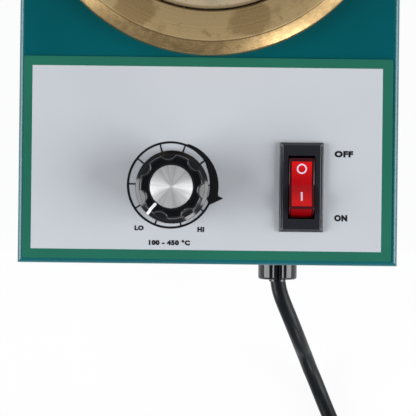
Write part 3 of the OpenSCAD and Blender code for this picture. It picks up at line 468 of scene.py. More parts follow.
def turned(profile, centre, count, closed=False):
    """Skin of a profile of (radius, height) turned about an upright axis through centre.
    Either may be a function of the turn in radians, and a radius of 0 is a single point."""
    points, faces, rings = [], [], []
    for radius, height in profile:
        if radius == 0:
            rings.append([len(points)])
            points.append((centre[0], centre[1], height))
            continue
        rings.append(range(len(points), len(points) + count))
        for i in range(count):
            turn = 2 * pi * i / count
            r = radius(turn) if callable(radius) else radius
            z = height(turn) if callable(height) else height
            points.append((centre[0] + r * cos(turn), centre[1] + r * sin(turn), z))
    for one, other in zip(rings, rings[1:] + rings[:1] if closed else rings[1:]):
        for i in range(count):
            k = (i + 1) % count
            if len(one) == 1:
                faces.append((one[0], other[i], other[k]))
            elif len(other) == 1:
                faces.append((one[i], other[0], one[k]))
            else:
                faces.append((one[i], other[i], other[k], one[k]))
    return points, faces


def lofted(sections):
    """Solid through like sections of points, closed by the first and the last."""
    n = len(sections[0])
    last = n * (len(sections) - 1)
    faces = [tuple(range(n)), tuple(range(last, last + n))]
    for start in range(0, last, n):
        faces += [(start + i, start + (i + 1) % n, start + n + (i + 1) % n, start + n + i)
                  for i in range(n)]
    return [point for section in sections for point in section], faces


def prism(outline, low, high):
    """Upright solid on a flat outline of (x, y)."""
    return lofted([[(x, y, z) for x, y in outline] for z in (low, high)])


def arc(centre, radius, start, end, count):
    """Points of a flat arc, turned from start to end degrees."""
    angles = (radians(start + (end - start) * i / count) for i in range(count + 1))
    return [(centre[0] + radius * cos(a), centre[1] + radius * sin(a)) for a in angles]


def clockwise(centre, radius, turn):
    """Point at a turn in degrees clockwise from the rear."""
    angle = radians(90 - turn)
    return (centre[0] + radius * cos(angle), centre[1] + radius * sin(angle))


def join(*solids):
    """Several (points, faces) as one."""
    points, faces = [], []
    for more_points, more_faces in solids:
        start = len(points)
        points += list(more_points)
        faces += [tuple(i + start for i in face) for face in more_faces]
    return points, faces


def dress(material, *names):
    """Gives CAD nodes their finish."""
    for name in names:
        mesh = NODES[name].data
        mesh.materials.clear()
        mesh.materials.append(material)


# ---- settings ----

def colour_of(name, description, hex_colour):
    return FloatVectorProperty(name=name, description=description, default=linear(hex_colour),
                               size=4, subtype="COLOR", min=0, max=1)


def length_of(name, description, mm):
    return FloatProperty(name=name, description=description, default=mm * MM, unit="LENGTH")


def angle_of(name, description, angle):
    return FloatProperty(name=name, description=description, default=radians(angle),
                         subtype="ANGLE")


def size_of(name, description, mm):
    return FloatProperty(name=name, description=description + ", in mm", default=mm)


class StageSettings(bpy.types.PropertyGroup):
    view_width: length_of("View width", "Width seen at the panel's height", 142.2)
    eye_height: length_of("Eye height", "Height of the camera above the bench", 780.4)
    floor_colour: colour_of("Bench colour", "Colour of the bench top", "#f4f4f4")
    sky: FloatProperty(name="Room light", description="Brightness of the room", default=0.32,
                       min=0)


class LeadSettings(bpy.types.PropertyGroup):
    diameter: length_of("Lead diameter", "Outside diameter of the sheath", 5.6)
    length: length_of("Free length", "Length from the bushing to the plug", 1490)
    sheath_colour: colour_of("Sheath colour", "Colour of the vinyl", "#15181b")


class HousingSettings(bpy.types.PropertyGroup):
    enamel_colour: colour_of("Enamel", "Colour of the cover", "#00555d")
    steel_colour: colour_of("Plated steel", "Colour of the tray and screws", "#c3c6c8")
    rubber_colour: colour_of("Rubber", "Colour of the feet", "#161617")


class PanelSettings(bpy.types.PropertyGroup):
    field_colour: colour_of("Field", "Colour of the panel's field", "#c9ced4")
    border_colour: colour_of("Border", "Colour of the panel's border", "#246a57")
    ink_colour: colour_of("Ink", "Colour of the lettering", "#0c0e13")
    ink_height: length_of("Ink height", "How far the ink stands up", 0.05)


class CollarSettings(bpy.types.PropertyGroup):
    # darker stains: turn clockwise from the rear, distance from the axis and reach, in mm
    STAINS = ((165, 52.5, 7.0), (208, 53, 7.5), (142, 50, 6.0), (20, 53, 7.5), (285, 52, 7.0))
    flat_colour: colour_of("Face", "Colour of the turned face", "#ab9164")
    tarnish_colour: colour_of("Tarnish", "Colour of the darker patches", "#84673a")
    slope_colour: colour_of("Slope", "Colour of the sloping rim", "#a68c62")
    bore_radius: size_of("Bore radius", "Inside of the face", 48.3)
    slope_radius: size_of("Slope radius", "Where the slope starts", 58.75)
    patch_size: size_of("Patch size", "Width of a tarnished patch", 11.0)


class PotSettings(bpy.types.PropertyGroup):
    lip_radius: size_of("Lip radius", "Outside of the crucible's lip", 47.8)
    lip_colour: colour_of("Lip edge", "Colour of the lip's hot edge", "#8a7656")
    iron_colour: colour_of("Crucible", "Colour of the cast crucible", "#b2a184")
    fibre_colour: colour_of("Insulation", "Colour of the ceramic fibre", "#e8e3d6")
    sheath_colour: colour_of("Heater", "Colour of the heater's sheath", "#8c8b88")


class KnobSettings(bpy.types.PropertyGroup):
    flutes: IntProperty(name="Flutes", description="Number of finger flutes", default=7, min=3)
    first_flute: angle_of("First flute", "Turn of a flute clockwise from the rear", -6)
    pointer: angle_of("Pointer", "Turn of the line clockwise from the rear", 222)
    skirt_radius: length_of("Skirt radius", "Radius of the knob's skirt", 12.5)
    lobe_radius: length_of("Lobe radius", "Radius over the finger lobes", 11.1)
    flute_depth: length_of("Flute depth", "Depth of a finger flute", 1.5)
    disc_radius: length_of("Disc radius", "Radius of the metal disc", 7.25)
    bakelite_colour: colour_of("Body", "Colour of the knob's body", "#0d0e12")
    disc_colour: colour_of("Disc", "Colour of the metal disc", "#f0f1f2")
    line_colour: colour_of("Line", "Colour of the pointer line", "#eceef2")


class SwitchSettings(bpy.types.PropertyGroup):
    housing_colour: colour_of("Bezel", "Colour of the bezel", "#1b1d23")
    lens_colour: colour_of("Lens", "Colour of the red face", "#d8191b")
    # painted shade: a darker red for the face's middle, where the fold lies in shade
    fold_shade_colour: colour_of("Fold", "Colour of the face's middle", "#ab0a14")
    shell_colour: colour_of("Shell", "Colour of the rocker's shell", "#3f0b13")
    end_colour: colour_of("End", "Colour of the rocker's raised end", "#86040b")
    tilt: angle_of("Tilt", "Tilt of the rocker at rest", 11)


class BoardSettings(bpy.types.PropertyGroup):
    mask_colour: colour_of("Board", "Colour of the circuit board", "#1f5c33")


# ---- operators ----

class SOLDERPOT_OT_stage(bpy.types.Operator):
    """Bench, room light, lamps and camera"""
    bl_idname = "solderpot.stage"
    bl_label = "Stage"

    # turn clockwise from the rear, elevation, distance, width, height, brightness
    LAMPS = {
        "left_box": (260, 19.5, 2.0, 1.6, 1.4, 7.4),
        "right_box": (101, 19.5, 2.0, 1.5, 1.4, 7.6),
        "front_strip": (149, 8, 2.0, 0.6, 0.5, 10.5),
    }
    LAMPS_AIM = (0, -0.04, 0.085)
    EYE_AT = (0.000085, -0.08072)
    EYE_TURN = 0.663            # degrees
    CEILING = (0.88, 0.96)      # heights of the sky between which the room darkens
    CEILING_LEVEL = 0.12        # its brightness beside the walls'
    BENCH_GLOW = 0.93           # share of the bench that a camera sees as plain white
    BENCH_HALF = 4.0

    def execute(self, context):
        look = context.scene.solder_pot_stage
        scene = context.scene
        scene.view_settings.view_transform = "Standard"
        self.add_camera(scene, look)
        self.add_room(scene, look)
        for name, values in self.LAMPS.items():
            self.add_lamp(scene, name, *values)
        self.add_bench(scene, look)
        return {"FINISHED"}

    def add_camera(self, scene, look):
        data = bpy.data.cameras.new("camera")
        data.lens = data.sensor_width * (look.eye_height - PANEL_Z * MM) / look.view_width
        camera = bpy.data.objects.new("camera", data)
        camera.location = (*self.EYE_AT, look.eye_height)
        camera.rotation_euler = (0, 0, radians(self.EYE_TURN))
        scene.collection.objects.link(camera)
        scene.camera = camera

    def add_room(self, scene, look):
        world = bpy.data.worlds.new("room")
        world.use_nodes = True
        tree = world.node_tree
        tree.nodes.clear()
        toward = add_node(tree, "TexCoord", output="Generated")
        height = add_node(tree, "SeparateXYZ", {0: toward}, "Z")
        low, high = self.CEILING
        level = add_node(tree, "MapRange", {0: height, 1: low, 2: high, 3: look.sky,
                                            4: look.sky * self.CEILING_LEVEL}, **SMOOTH)
        room = add_node(tree, "Background", {"Color": linear("#fbfcff"), "Strength": level})
        add_node(tree, "OutputWorld", {"Surface": room}, is_active_output=True)
        scene.world = world

    def add_lamp(self, scene, name, turn, elevation, distance, width, height, brightness):
        data = bpy.data.lights.new(name, "AREA")
        data.shape = "RECTANGLE"
        data.size, data.size_y = width, height
        data.energy = brightness * pi * width * height
        lamp = bpy.data.objects.new(name, data)
        side = clockwise((0, 0), cos(radians(elevation)), turn)
        toward = Vector((*side, sin(radians(elevation))))
        lamp.location = Vector(self.LAMPS_AIM) + toward * distance
        lamp.rotation_euler = toward.to_track_quat("Z", "Y").to_euler()
        lamp.visible_camera = False
        scene.collection.objects.link(lamp)

    def add_bench(self, scene, look):
        """White bench that keeps its shadows and shows white to the camera, metal and glass."""
        material = bpy.data.materials.new("white_bench")
        material.use_nodes = True
        tree = material.node_tree
        tree.nodes.clear()
        seen = 0.0
        for ray in ("Is Camera Ray", "Is Glossy Ray", "Is Transmission Ray"):
            ray = add_node(tree, "LightPath", output=ray)
            seen = add_node(tree, "Math", {0: seen, 1: ray}, operation="MAXIMUM")
        seen = add_node(tree, "Math", {0: seen, 1: self.BENCH_GLOW}, operation="MULTIPLY")
        surface = add_node(tree, "BsdfDiffuse", {"Color": look.floor_colour})
        glow = add_node(tree, "Emission", {"Color": (1, 1, 1, 1), "Strength": 1.0})
        mixed = add_node(tree, "MixShader", {0: seen, 1: surface, 2: glow})
        add_node(tree, "OutputMaterial", {"Surface": mixed})
        half = self.BENCH_HALF
        mesh = bpy.data.meshes.new("bench")
        mesh.from_pydata([(-half, -half, 0), (half, -half, 0), (half, half, 0), (-half, half, 0)],
                         [], [(0, 1, 2, 3)])
        mesh.materials.append(material)
        bench = bpy.data.objects.new("bench", mesh)
        scene.collection.objects.link(bench)


class SOLDERPOT_OT_mains_lead(bpy.types.Operator):
    """Mains lead with its coil, tie and plug"""
    bl_idname = "solderpot.mains_lead"
    bl_label = "Mains lead"

    # the lead from the bushing's mouth down to the bench and on to the coil, in mm
    TO_COIL = [
        (25.8, -100, 30), (25.9, -105.5, 30), (26.3, -109, 30), (27.2, -112.4, 29.8),
        (28.7, -116.2, 28.9), (30.6, -120.6, 27.2), (32.5, -125, 24.4), (34, -128.5, 21.1),
        (35.3, -131.5, 17.3), (36.4, -134, 13.4), (37.6, -136.8, 10.4), (39.1, -140.5, 7.4),
        (41.1, -145, 4.9), (43.2, -150, 3.3), (45.5, -155.5, 2.8), (49.6, -165, 2.8),
        (54.3, -176, 2.8), (59, -187, 2.8), (61.4, -192.5, 2.8),
    ]
    TO_PLUG = [
        (21, -250.8, 8.5), (13, -250.8, 8.1), (6, -250.8, 6.7), (-1, -250.8, 4.8),
        (-9, -250.8, 3.3), (-18, -250.8, 2.8), (-25.5, -249.7, 2.8), (-32.5, -246.8, 2.9),
        (-38.4, -242.2, 3.9), (-42.6, -236.4, 5.7), (-44.6, -231, 7.3), (-45, -226.5, 8),
    ]
    COIL_AT = (23.0, -209.0)
    COIL_IN, COIL_OUT = 24.0, 41.8
    COIL_POINTS = 240
    LOW_Z, HIGH_Z = 2.8, 8.5    # the lead's middle on the bench and on top of the first layer
    START_TURN = 23.2           # degrees from +X at which the lead joins the outer turn
    TURNS = 6.3144              # ends at -90 degrees
    CLIMB = 0.25                # turns spent climbing to the upper layer
    TIE_TURN = 135.0
    TIE_LIFT = 0.9              # how far the strap lifts the lead off the bench
    TIE_REACH = 7.0             # how far along the lead that lift fades
    TIE_STRAP = 0.9             # thickness of the strap
    TIE_HALF = 2.3              # half its width

    def coil(self):
        """Points of the coil, wound inwards on the bench and outwards on top."""
        each = (self.TURNS - self.CLIMB) / 2
        points = []
        for i in range(self.COIL_POINTS + 1):
            done = self.TURNS * i / self.COIL_POINTS
            angle = self.START_TURN - 360 * done
            inward = min(1.0, done / each)
            outward = max(0.0, (done - each - self.CLIMB) / each)
            radius = self.COIL_OUT - (self.COIL_OUT - self.COIL_IN) * (inward - outward)
            climb = min(1.0, max(0.0, (done - each) / self.CLIMB))
            climb = climb * climb * (3 - 2 * climb)
            away = abs((angle - self.TIE_TURN + 180) % 360 - 180) * radians(radius)
            lift = self.TIE_LIFT * exp(-(away / self.TIE_REACH) ** 2) * (1 - 0.6 * climb)
            z = self.LOW_Z + (self.HIGH_Z - self.LOW_Z) * climb + lift
            points.append((self.COIL_AT[0] + radius * cos(radians(angle)),
                           self.COIL_AT[1] + radius * sin(radians(angle)), z))
        return points

    def smoothed(self, points, parts):
        """The route with parts points for each of its stretches, on one smooth curve."""
        ends = [Vector(p) for p in (points[0], *points, points[-1])]
        made = []
        for a, b, c, d in zip(ends, ends[1:], ends[2:], ends[3:]):
            for t in (i / parts for i in range(parts)):
                made.append(0.5 * (2 * b + (c - a) * t + (2 * a - 5 * b + 4 * c - d) * t * t
                                   + (3 * b - a - 3 * c + d) * t ** 3))
        return made + [ends[-1]]

    def execute(self, context):
        look = context.scene.solder_pot_lead
        vinyl = mains_vinyl(look.sheath_colour)
        route = self.smoothed(self.TO_COIL + self.coil()[1:-1] + self.TO_PLUG, 3)
        data = bpy.data.curves.new("mains_lead", "CURVE")
        data.dimensions = "3D"
        data.bevel_depth = look.diameter / 2
        data.bevel_resolution = 5
        data.use_fill_caps = True
        line = data.splines.new("POLY")
        line.points.add(len(route) - 1)
        for point, at in zip(line.points, route):
            point.co = (*(at * MM), 1)
        line.use_smooth = True
        data.materials.append(vinyl)
        lead = bpy.data.objects.new("mains_lead", data)
        context.scene.collection.objects.link(lead)
        settle(lead, "housing", ("cord_lead", "cord_coil", "cord_tail"))
        nylon = moulded_black("nylon_bushing", linear("#0e1015"), 0.12, 0.7, 0.004, 0.45)
        tie = self.add_tie(nylon)
        bushing = self.add_bushing(nylon, look.diameter / MM / 2)
        dress(vinyl, "plug_body")
        dress(nickel_plate(linear("#d4d6d8")), "plug_pins", "plug_earth_clips")
        return {"FINISHED"}

    def add_tie(self, material):
        """Strap round the coil's turns, with the locking head on top."""
        low, high = self.COIL_IN - 3.8, self.COIL_OUT + 3.8
        top = self.HIGH_Z + 2.8 + 1.2
        loops = []
        for inset, corner in ((0.0, 3.4), (self.TIE_STRAP, 3.4 - self.TIE_STRAP)):
            sides = (high - inset - corner, low + inset + corner)
            ends = (top - inset - corner, inset * 0.5 + corner)
            loops.append(arc((sides[0], ends[0]), corner, 0, 90, 6)
                         + arc((sides[1], ends[0]), corner, 90, 180, 6)
                         + arc((sides[1], ends[1]), corner, 180, 270, 6)
                         + arc((sides[0], ends[1]), corner, 270, 360, 6))
        count = len(loops[0])
        places = [(u, v, z) for v in (-self.TIE_HALF, self.TIE_HALF) for ring in loops
                  for u, z in ring]
        faces = []
        for i in range(count):
            k = (i + 1) % count
            faces += [(a + i, a + k, b + k, b + i) for a, b in
                      ((0, count), (2 * count, 3 * count), (0, 2 * count), (count, 3 * count))]
        head = []
        for v, inset in ((-3.4, 0.7), (-2.6, 0.0), (2.6, 0.0), (3.4, 0.7)):
            left, right = high - 9 + inset, high - 3.4 - inset
            base, crest = top - 0.5, top + 2.2 - inset
            head.append([(left, v, base), (right, v, base), (right, v, crest), (left, v, crest)])
        points, faces = join((places, faces), lofted(head))
        turn = Matrix.Rotation(radians(self.TIE_TURN), 3, "Z")
        points = [turn @ Vector(p) + Vector((*self.COIL_AT, 0)) for p in points]
        return add_piece("lead_tie", (points, faces), material,
                         replaced=("cord_tie",))

    def add_bushing(self, material, lead_radius):
        """Round clamp bushing at the lead's exit, with its ribs and the wedge joint on top."""
        low, high = corners("strain_relief")
        centre = (low + high) / 2
        radius = (high.x - low.x) / 2
        length = FRONT_Y - low.y
        inside = FRONT_Y - high.y
        neck = radius - 1.5
        bore = lead_radius + 0.1

        def ribbed(turn):
            notch = abs((degrees(turn) - 90 + 180) % 360 - 180) * radians(radius)
            rib = 0.22 * (0.5 + 0.5 * cos(turn * 30)) if notch < 3.2 else 0.0
            return rib + (0.9 if notch < 0.35 else 0.0)

        profile = [(bore, inside), (neck + 0.2, inside), (neck + 1, -1.1), (neck, -1.1), (neck, 0)]
        profile += [(lambda turn, r=r: r - ribbed(turn), h)
                    for r, h in ((radius - 0.25, 0), (radius, 0.3), (radius, length - 1.75),
                                 (radius - 0.1, length - 1.4))]
        profile += [(radius - 0.36, length - 1.08), (radius - 0.75, length - 0.9),
                    (radius - 1.1, length - 0.85), (bore + 0.2, length - 0.8),
                    (bore + 0.15, length - 0.1), (bore, length)]
        points, faces = turned(profile, (0, 0), 120, closed=True)
        points = [(centre.x + x, FRONT_Y - z, centre.z + y) for x, y, z in points]
        return add_piece("lead_bushing", (points, faces), material,
                         replaced=("strain_relief",), smooth=35)


class SOLDERPOT_OT_housing(bpy.types.Operator):
    """Enamelled cover, plated tray, screws and feet"""
    bl_idname = "solderpot.housing"
    bl_label = "Housing"

    def execute(self, context):
        look = context.scene.solder_pot_housing
        dress(baked_enamel(look.enamel_colour), "cover")
        dress(zinc_plate(look.steel_colour), "base_tray", "foot_screws", "foot_nuts", "shield_can",
              "collar_screws", "board_screws", "band_screw", "earth_stud", "earth_nut",
              "control_washer")
        dress(nickel_plate(linear("#cfd1d4")), "side_screws", "control_nut", "control_shaft",
              "sensor_probe")
        dress(foot_rubber(look.rubber_colour), "rubber_feet")
        return {"FINISHED"}


class SOLDERPOT_OT_front_panel(bpy.types.Operator):
    """Printed overlay with the dial's scale and the plain lettering"""
    bl_idname = "solderpot.front_panel"
    bl_label = "Front panel"

    BORDER = {"left": 3.0, "right": 3.55, "front": 3.25, "rear": 3.2}
    DIAL_AT = (-12.8, -73.0)
    RING = (14.2, 14.95)
    TICK_WIDTH = 0.52
    TICKS = (-15, 20, 54, 90, 128, 165, 201, 236, 271, 308)
    TICK_REACH = 11.0
    ARROW_HEAD = [(3.56, -76.55), (5.25, -77.45), (0.55, -79.65), (-0.4, -77.6)]
    SUNK = 0.05                 # how far the ink reaches into the film
    # text, middle of its line, cap height, width
    WORDS = {
        "word_low": ("LO", (-23.4, -87.8), 1.7, 3.1),
        "word_high": ("HI", (-2.3, -88.1), 1.75, 2.3),
        "word_range": ("100 - 450 °C", (-13.0, -92.7), 1.8, 14.0),
        "word_off": ("OFF", (46.3, -61.8), 2.2, 6.3),
        "word_on": ("ON", (45.5, -83.7), 2.2, 4.4),
    }

    def execute(self, context):
        look = context.scene.solder_pot_panel
        low, high = corners("panel_overlay")
        field = (low.x + self.BORDER["left"], high.x - self.BORDER["right"],
                 low.y + self.BORDER["front"], high.y - self.BORDER["rear"])
        dress(printed_film(look, field), "panel_overlay")
        ink = print_ink("black_ink", look.ink_colour)
        self.base, self.top = PANEL_Z - self.SUNK, PANEL_Z + look.ink_height / MM
        self.add_ring(ink)
        self.add_arrow(ink)
        for name, values in self.WORDS.items():
            self.add_word(context, ink, name, *values)
        return {"FINISHED"}

    def add_ring(self, ink):
        """Dial ring, and its ticks, as flat prints."""
        inner, outer = self.RING
        profile = [(inner, self.base), (outer, self.base), (outer, self.top), (inner, self.top)]
        add_piece("dial_ring", turned(profile, self.DIAL_AT, 180, closed=True), ink,
                  smooth=20)
        ticks = []
        for turn in self.TICKS:
            (a, b), (c, d) = ([clockwise(self.DIAL_AT, radius, turn + side * degrees(
                self.TICK_WIDTH / 2 / radius)) for side in (-1, 1)]
                for radius in (self.TICK_REACH, inner + 0.1))
            ticks.append(prism([a, b, d, c], self.base, self.top))
        add_piece("dial_ticks", join(*ticks), ink, smooth=20)

    def add_arrow(self, ink):
        """Band that widens clockwise into an arrow head, between two eccentric arcs."""
        outline = (arc((-11.5, -73.3), 15.13, 72, -9, 40) + self.ARROW_HEAD
                   + arc((-16.5, -73.0), 17.15, -12, 21, 20)
                   + arc(self.DIAL_AT, self.RING[0], 33, 70, 12))
        add_piece("dial_arrow", prism(outline, self.base, self.top + 0.01), ink,
                  smooth=20)

    def add_word(self, context, ink, name, text, at, height, width):
        """One printed word, stretched to its cap height and width."""
        data = bpy.data.curves.new(name + "_outline", "FONT")
        data.body = text
        data.align_x = data.align_y = "CENTER"
        data.size = 2.0
        data.offset = 0.13
        data.space_character = 1.15
        data.extrude = 0.5
        data.resolution_u = 6
        letters = bpy.data.objects.new(name + "_outline", data)
        context.scene.collection.objects.link(letters)
        context.view_layer.update()
        mesh = bpy.data.meshes.new_from_object(
            letters.evaluated_get(context.evaluated_depsgraph_get()))
        bpy.data.objects.remove(letters)
        bpy.data.curves.remove(data)
        work = bmesh.new()
        work.from_mesh(mesh)
        bmesh.ops.remove_doubles(work, verts=work.verts, dist=0.0004)
        xs, ys, zs = zip(*(v.co for v in work.verts))
        for v in work.verts:
            across = (v.co.x - min(xs)) / (max(xs) - min(xs)) - 0.5
            along = (v.co.y - min(ys)) / (max(ys) - min(ys)) - 0.5
            z = self.top if v.co.z > (min(zs) + max(zs)) / 2 else self.base
            v.co = ((at[0] + across * width) * MM, (at[1] + along * height) * MM, z * MM)
        bmesh.ops.recalc_face_normals(work, faces=work.faces)
        work.to_mesh(mesh)
        work.free()
        mesh.materials.clear()
        mesh.materials.append(ink)
        word = bpy.data.objects.new(name, mesh)
        context.scene.collection.objects.link(word)
        settle(word, "housing")


class SOLDERPOT_OT_brass_collar(bpy.types.Operator):
    """Turned brass collar"""
    bl_idname = "solderpot.brass_collar"
    bl_label = "Brass collar"

    SEAT = 52.35                # inside radius of the standing wall
    WEB = 5.0                   # thickness of the face
    SLOPE_HEIGHT = 4.8          # from the slope's foot to the face

    def execute(self, context):
        look = context.scene.solder_pot_collar
        low, high = corners("collar")
        outer = (high.x - low.x) / 2
        base, top = low.z, high.z
        bore, slope = look.bore_radius, look.slope_radius
        web, foot = top - self.WEB, top - self.SLOPE_HEIGHT
        profile = [
            (self.SEAT, base), (outer - 0.3, base), (outer, base + 0.3), (outer, foot - 0.35),
            (outer - 0.08, foot), (outer - 0.28, foot + 0.3), (outer - 0.55, foot + 0.52),
            (slope + 0.25, top - 0.72), (slope + 0.05, top - 0.62), (slope - 0.1, top - 0.55),
            (slope - 0.25, top - 0.3), (slope - 0.4, top - 0.08), (slope - 0.6, top),
            (bore + 0.9, top), (bore + 0.5, top - 0.05), (bore + 0.2, top - 0.18),
            (bore + 0.04, top - 0.4), (bore, top - 0.9), (bore, web), (self.SEAT, web),
        ]
        add_piece("brass_collar", turned(profile, POT_AT, 288, closed=True), turned_brass(look),
                  replaced=("collar",), smooth=25)
        return {"FINISHED"}


class SOLDERPOT_OT_melting_pot(bpy.types.Operator):
    """Crucible, heater and insulation"""
    bl_idname = "solderpot.melting_pot"
    bl_label = "Melting pot"

    LIP_WIDTH = 6.4
    LIP_HEIGHT = 3.0
    LIP_ROUND = 0.8
    WALL = 2.0
    FLOOR = 4.0
    CORNER_OUT, CORNER_IN = 8.0, 6.0

    def execute(self, context):
        look = context.scene.solder_pot_pot
        self.add_crucible(look.lip_radius, cast_crucible(look))
        dress(heater_sheath(look.sheath_colour), "heater_band")
        dress(ceramic_fibre(look.fibre_colour), "insulation_sleeve", "insulation_disc")
        return {"FINISHED"}

    def add_crucible(self, lip, iron):
        """Cup with a rounded lip, its bottom corners rounded inside and out."""
        low, high = corners("crucible")
        bore = (high.x - low.x) / 2 - self.LIP_WIDTH
        base, top, under = low.z, high.z, high.z - self.LIP_HEIGHT
        outside, floor, edge = bore + self.WALL, base + self.FLOOR, self.LIP_ROUND
        big, small = self.CORNER_OUT, self.CORNER_IN
        profile = [(0, base)] + arc((outside - big, base + big), big, -90, 0, 10)
        profile += [(outside, under), (lip - 0.3, under), (lip, under + 0.3)]
        profile += arc((lip - edge, top - edge), edge, 0, 90, 6)
        profile += arc((bore + edge, top - edge), edge, 90, 180, 6)
        profile += arc((bore - small, floor + small), small, 0, -90, 10) + [(0, floor)]
        add_piece("cast_crucible", turned(profile, POT_AT, 180), iron,
                  replaced=("crucible",))


class SOLDERPOT_OT_dial_knob(bpy.types.Operator):
    """Fluted knob with its line and metal disc"""
    bl_idname = "solderpot.dial_knob"
    bl_label = "Dial knob"

    CUTTER = 3.1                # radius of a flute, in mm
    SOFTEN = 0.45               # rounding between flute and lobe
    FLOOR_SLOPE = 0.5           # rise of a flute's floor towards the axis
    STEPS = 72                  # around each flute
    LEDGE = 2.0                 # height of the skirt
    HOLLOW, HOLLOW_DEPTH = 7.7, 5.6     # room for the nut
    SHAFT, SHAFT_TOP = 3.05, 3.2        # its bore, and the wall left over it
    DISC_SEAT = 1.3             # depth of the disc's recess
    LINE_HALF = 0.5             # half the pointer line's width

    def outline(self, turn):
        """Radius of the fluted wall at a turn in radians from +X."""
        pitch = 2 * pi / self.look.flutes
        off = (pi / 2 - turn - self.look.first_flute + pitch / 2) % pitch - pitch / 2
        centre = self.lobe - self.look.flute_depth / MM + self.CUTTER
        if abs(off) * centre >= self.CUTTER:
            return self.lobe
        cut = centre * cos(off) - sqrt(self.CUTTER ** 2 - (centre * sin(off)) ** 2)
        mix = max(0.0, min(1.0, 0.5 + 0.5 * (self.lobe - cut) / self.SOFTEN))
        return self.lobe + (cut - self.lobe) * mix - self.SOFTEN * mix * (1 - mix)

    def flank(self, inset, height, rise):
        """A level of the fluted wall, which rises towards the axis inside each flute."""
        return (lambda turn: self.outline(turn) - inset,
                lambda turn: height + rise * (self.lobe - self.outline(turn)))

    def shoulder(self, inset, rim, part, height):
        """A level of the crown, where the flutes fade into the disc's round rim."""
        return (lambda turn: (self.outline(turn) - inset) * (1 - part) + rim * part, height)

    def execute(self, context):
        self.look = look = context.scene.solder_pot_knob
        self.lobe = look.lobe_radius / MM
        skirt, disc = look.skirt_radius / MM, look.disc_radius / MM
        low, high = corners("knob_body")
        base, top = low.z, high.z
        ledge = base + self.LEDGE
        wall = [(0.0, ledge + 0.1), (0.08, ledge + 0.5), (0.35, top - 1.1)]
        wall += [(0.4 + 0.9 * (1 - cos(radians(a))), top - 0.95 + 0.9 * sin(radians(a)))
                 for a in range(10, 91, 16)]
        nut_z = base + self.HOLLOW_DEPTH
        shaft_z, seat_z = top - self.SHAFT_TOP, top - self.DISC_SEAT
        profile = [
            (0, shaft_z), (self.SHAFT, shaft_z), (self.SHAFT, nut_z), (self.HOLLOW, nut_z),
            (self.HOLLOW, base), (skirt - 0.2, base), (skirt, base + 0.2), (skirt, base + 0.85),
            (skirt - 0.05, base + 1.0), (skirt - 0.16, base + 1.12), (skirt - 1.18, base + 1.84),
            (skirt - 1.28, base + 1.94), (skirt - 1.32, ledge + 0.02)]
        profile += [self.flank(inset, height, self.FLOOR_SLOPE if height < ledge + 1 else 0)
                    for inset, height in wall]
        profile += [self.shoulder(wall[-1][0], disc + 0.75, part, top - 0.05 + 0.05 * part)
                    for part in (0.35, 0.7)]
        profile += [(disc + 0.65, top), (disc + 0.45, top - 0.08), (disc + 0.3, top - 0.35),
                    (disc + 0.1, top - 0.42), (disc + 0.06, seat_z), (0, seat_z)]
        black = moulded_black("moulded_bakelite", look.bakelite_colour, 0.15, 1.4, 0.004, 0.4)
        add_piece("fluted_knob", turned(profile, KNOB_AT, look.flutes * self.STEPS), black,
                  "knob", ("knob_body",), 35)
        self.add_disc(look, disc, top, seat_z)
        self.add_line(look, skirt, disc, wall, ledge, base, top)
        dress(black_oxide(linear("#1b1b1d")), "knob_grub_screw")
        return {"FINISHED"}

    def add_disc(self, look, disc, top, seat_z):
        face = top - 0.25
        profile = [(0, seat_z), (disc - 0.05, seat_z), (disc, top - 1.2), (disc, face - 0.15),
                   (disc - 0.06, face - 0.05), (disc - 0.16, face), (disc * 0.5, face + 0.02),
                   (0, face + 0.03)]
        add_piece("knob_badge_disc", turned(profile, KNOB_AT, 180),
                  spun_aluminium(look.disc_colour), "knob", ("knob_disc",))

    def add_line(self, look, skirt, disc, wall, ledge, base, top):
        """White line from the disc over the shoulder and down the skirt."""
        direction = Vector((sin(look.pointer), cos(look.pointer), 0))
        across = Vector((direction.y, -direction.x, 0))
        lobe = self.outline(pi / 2 - look.pointer)
        run = [(skirt + 0.03, base + 0.85), (skirt - 0.02, base + 1.03),
               (skirt - 0.14, base + 1.15), (skirt - 1.14, base + 1.87),
               (lobe + 0.08, ledge + 0.08)]
        run += [(lobe - inset + 0.03, height + 0.02) for inset, height in wall[1:]]
        run.append((disc + 0.5, top + 0.03))
        sections = [[Vector((KNOB_AT.x, KNOB_AT.y, h - deep)) + direction * (r - deep)
                     + across * side * self.LINE_HALF
                     for side, deep in ((-1, 0), (1, 0), (1, 0.12), (-1, 0.12))] for r, h in run]
        add_piece("knob_line", lofted(sections), print_ink("white_filling", look.line_colour),
                  "knob")


class SOLDERPOT_OT_dial_control(bpy.types.Operator):
    """Control under the knob"""
    bl_idname = "solderpot.dial_control"
    bl_label = "Dial control"

    def execute(self, context):
        dress(moulded_black("moulded_phenolic", linear("#17171a"), 0.4, 0.9, 0.01),
              "control_body", "triac", "fuse_holder")
        dress(bright_brass(linear("#c9a559")), "control_bushing", "control_tags", "sensor_clip",
              "switch_terminals", "board_spacers")
        return {"FINISHED"}


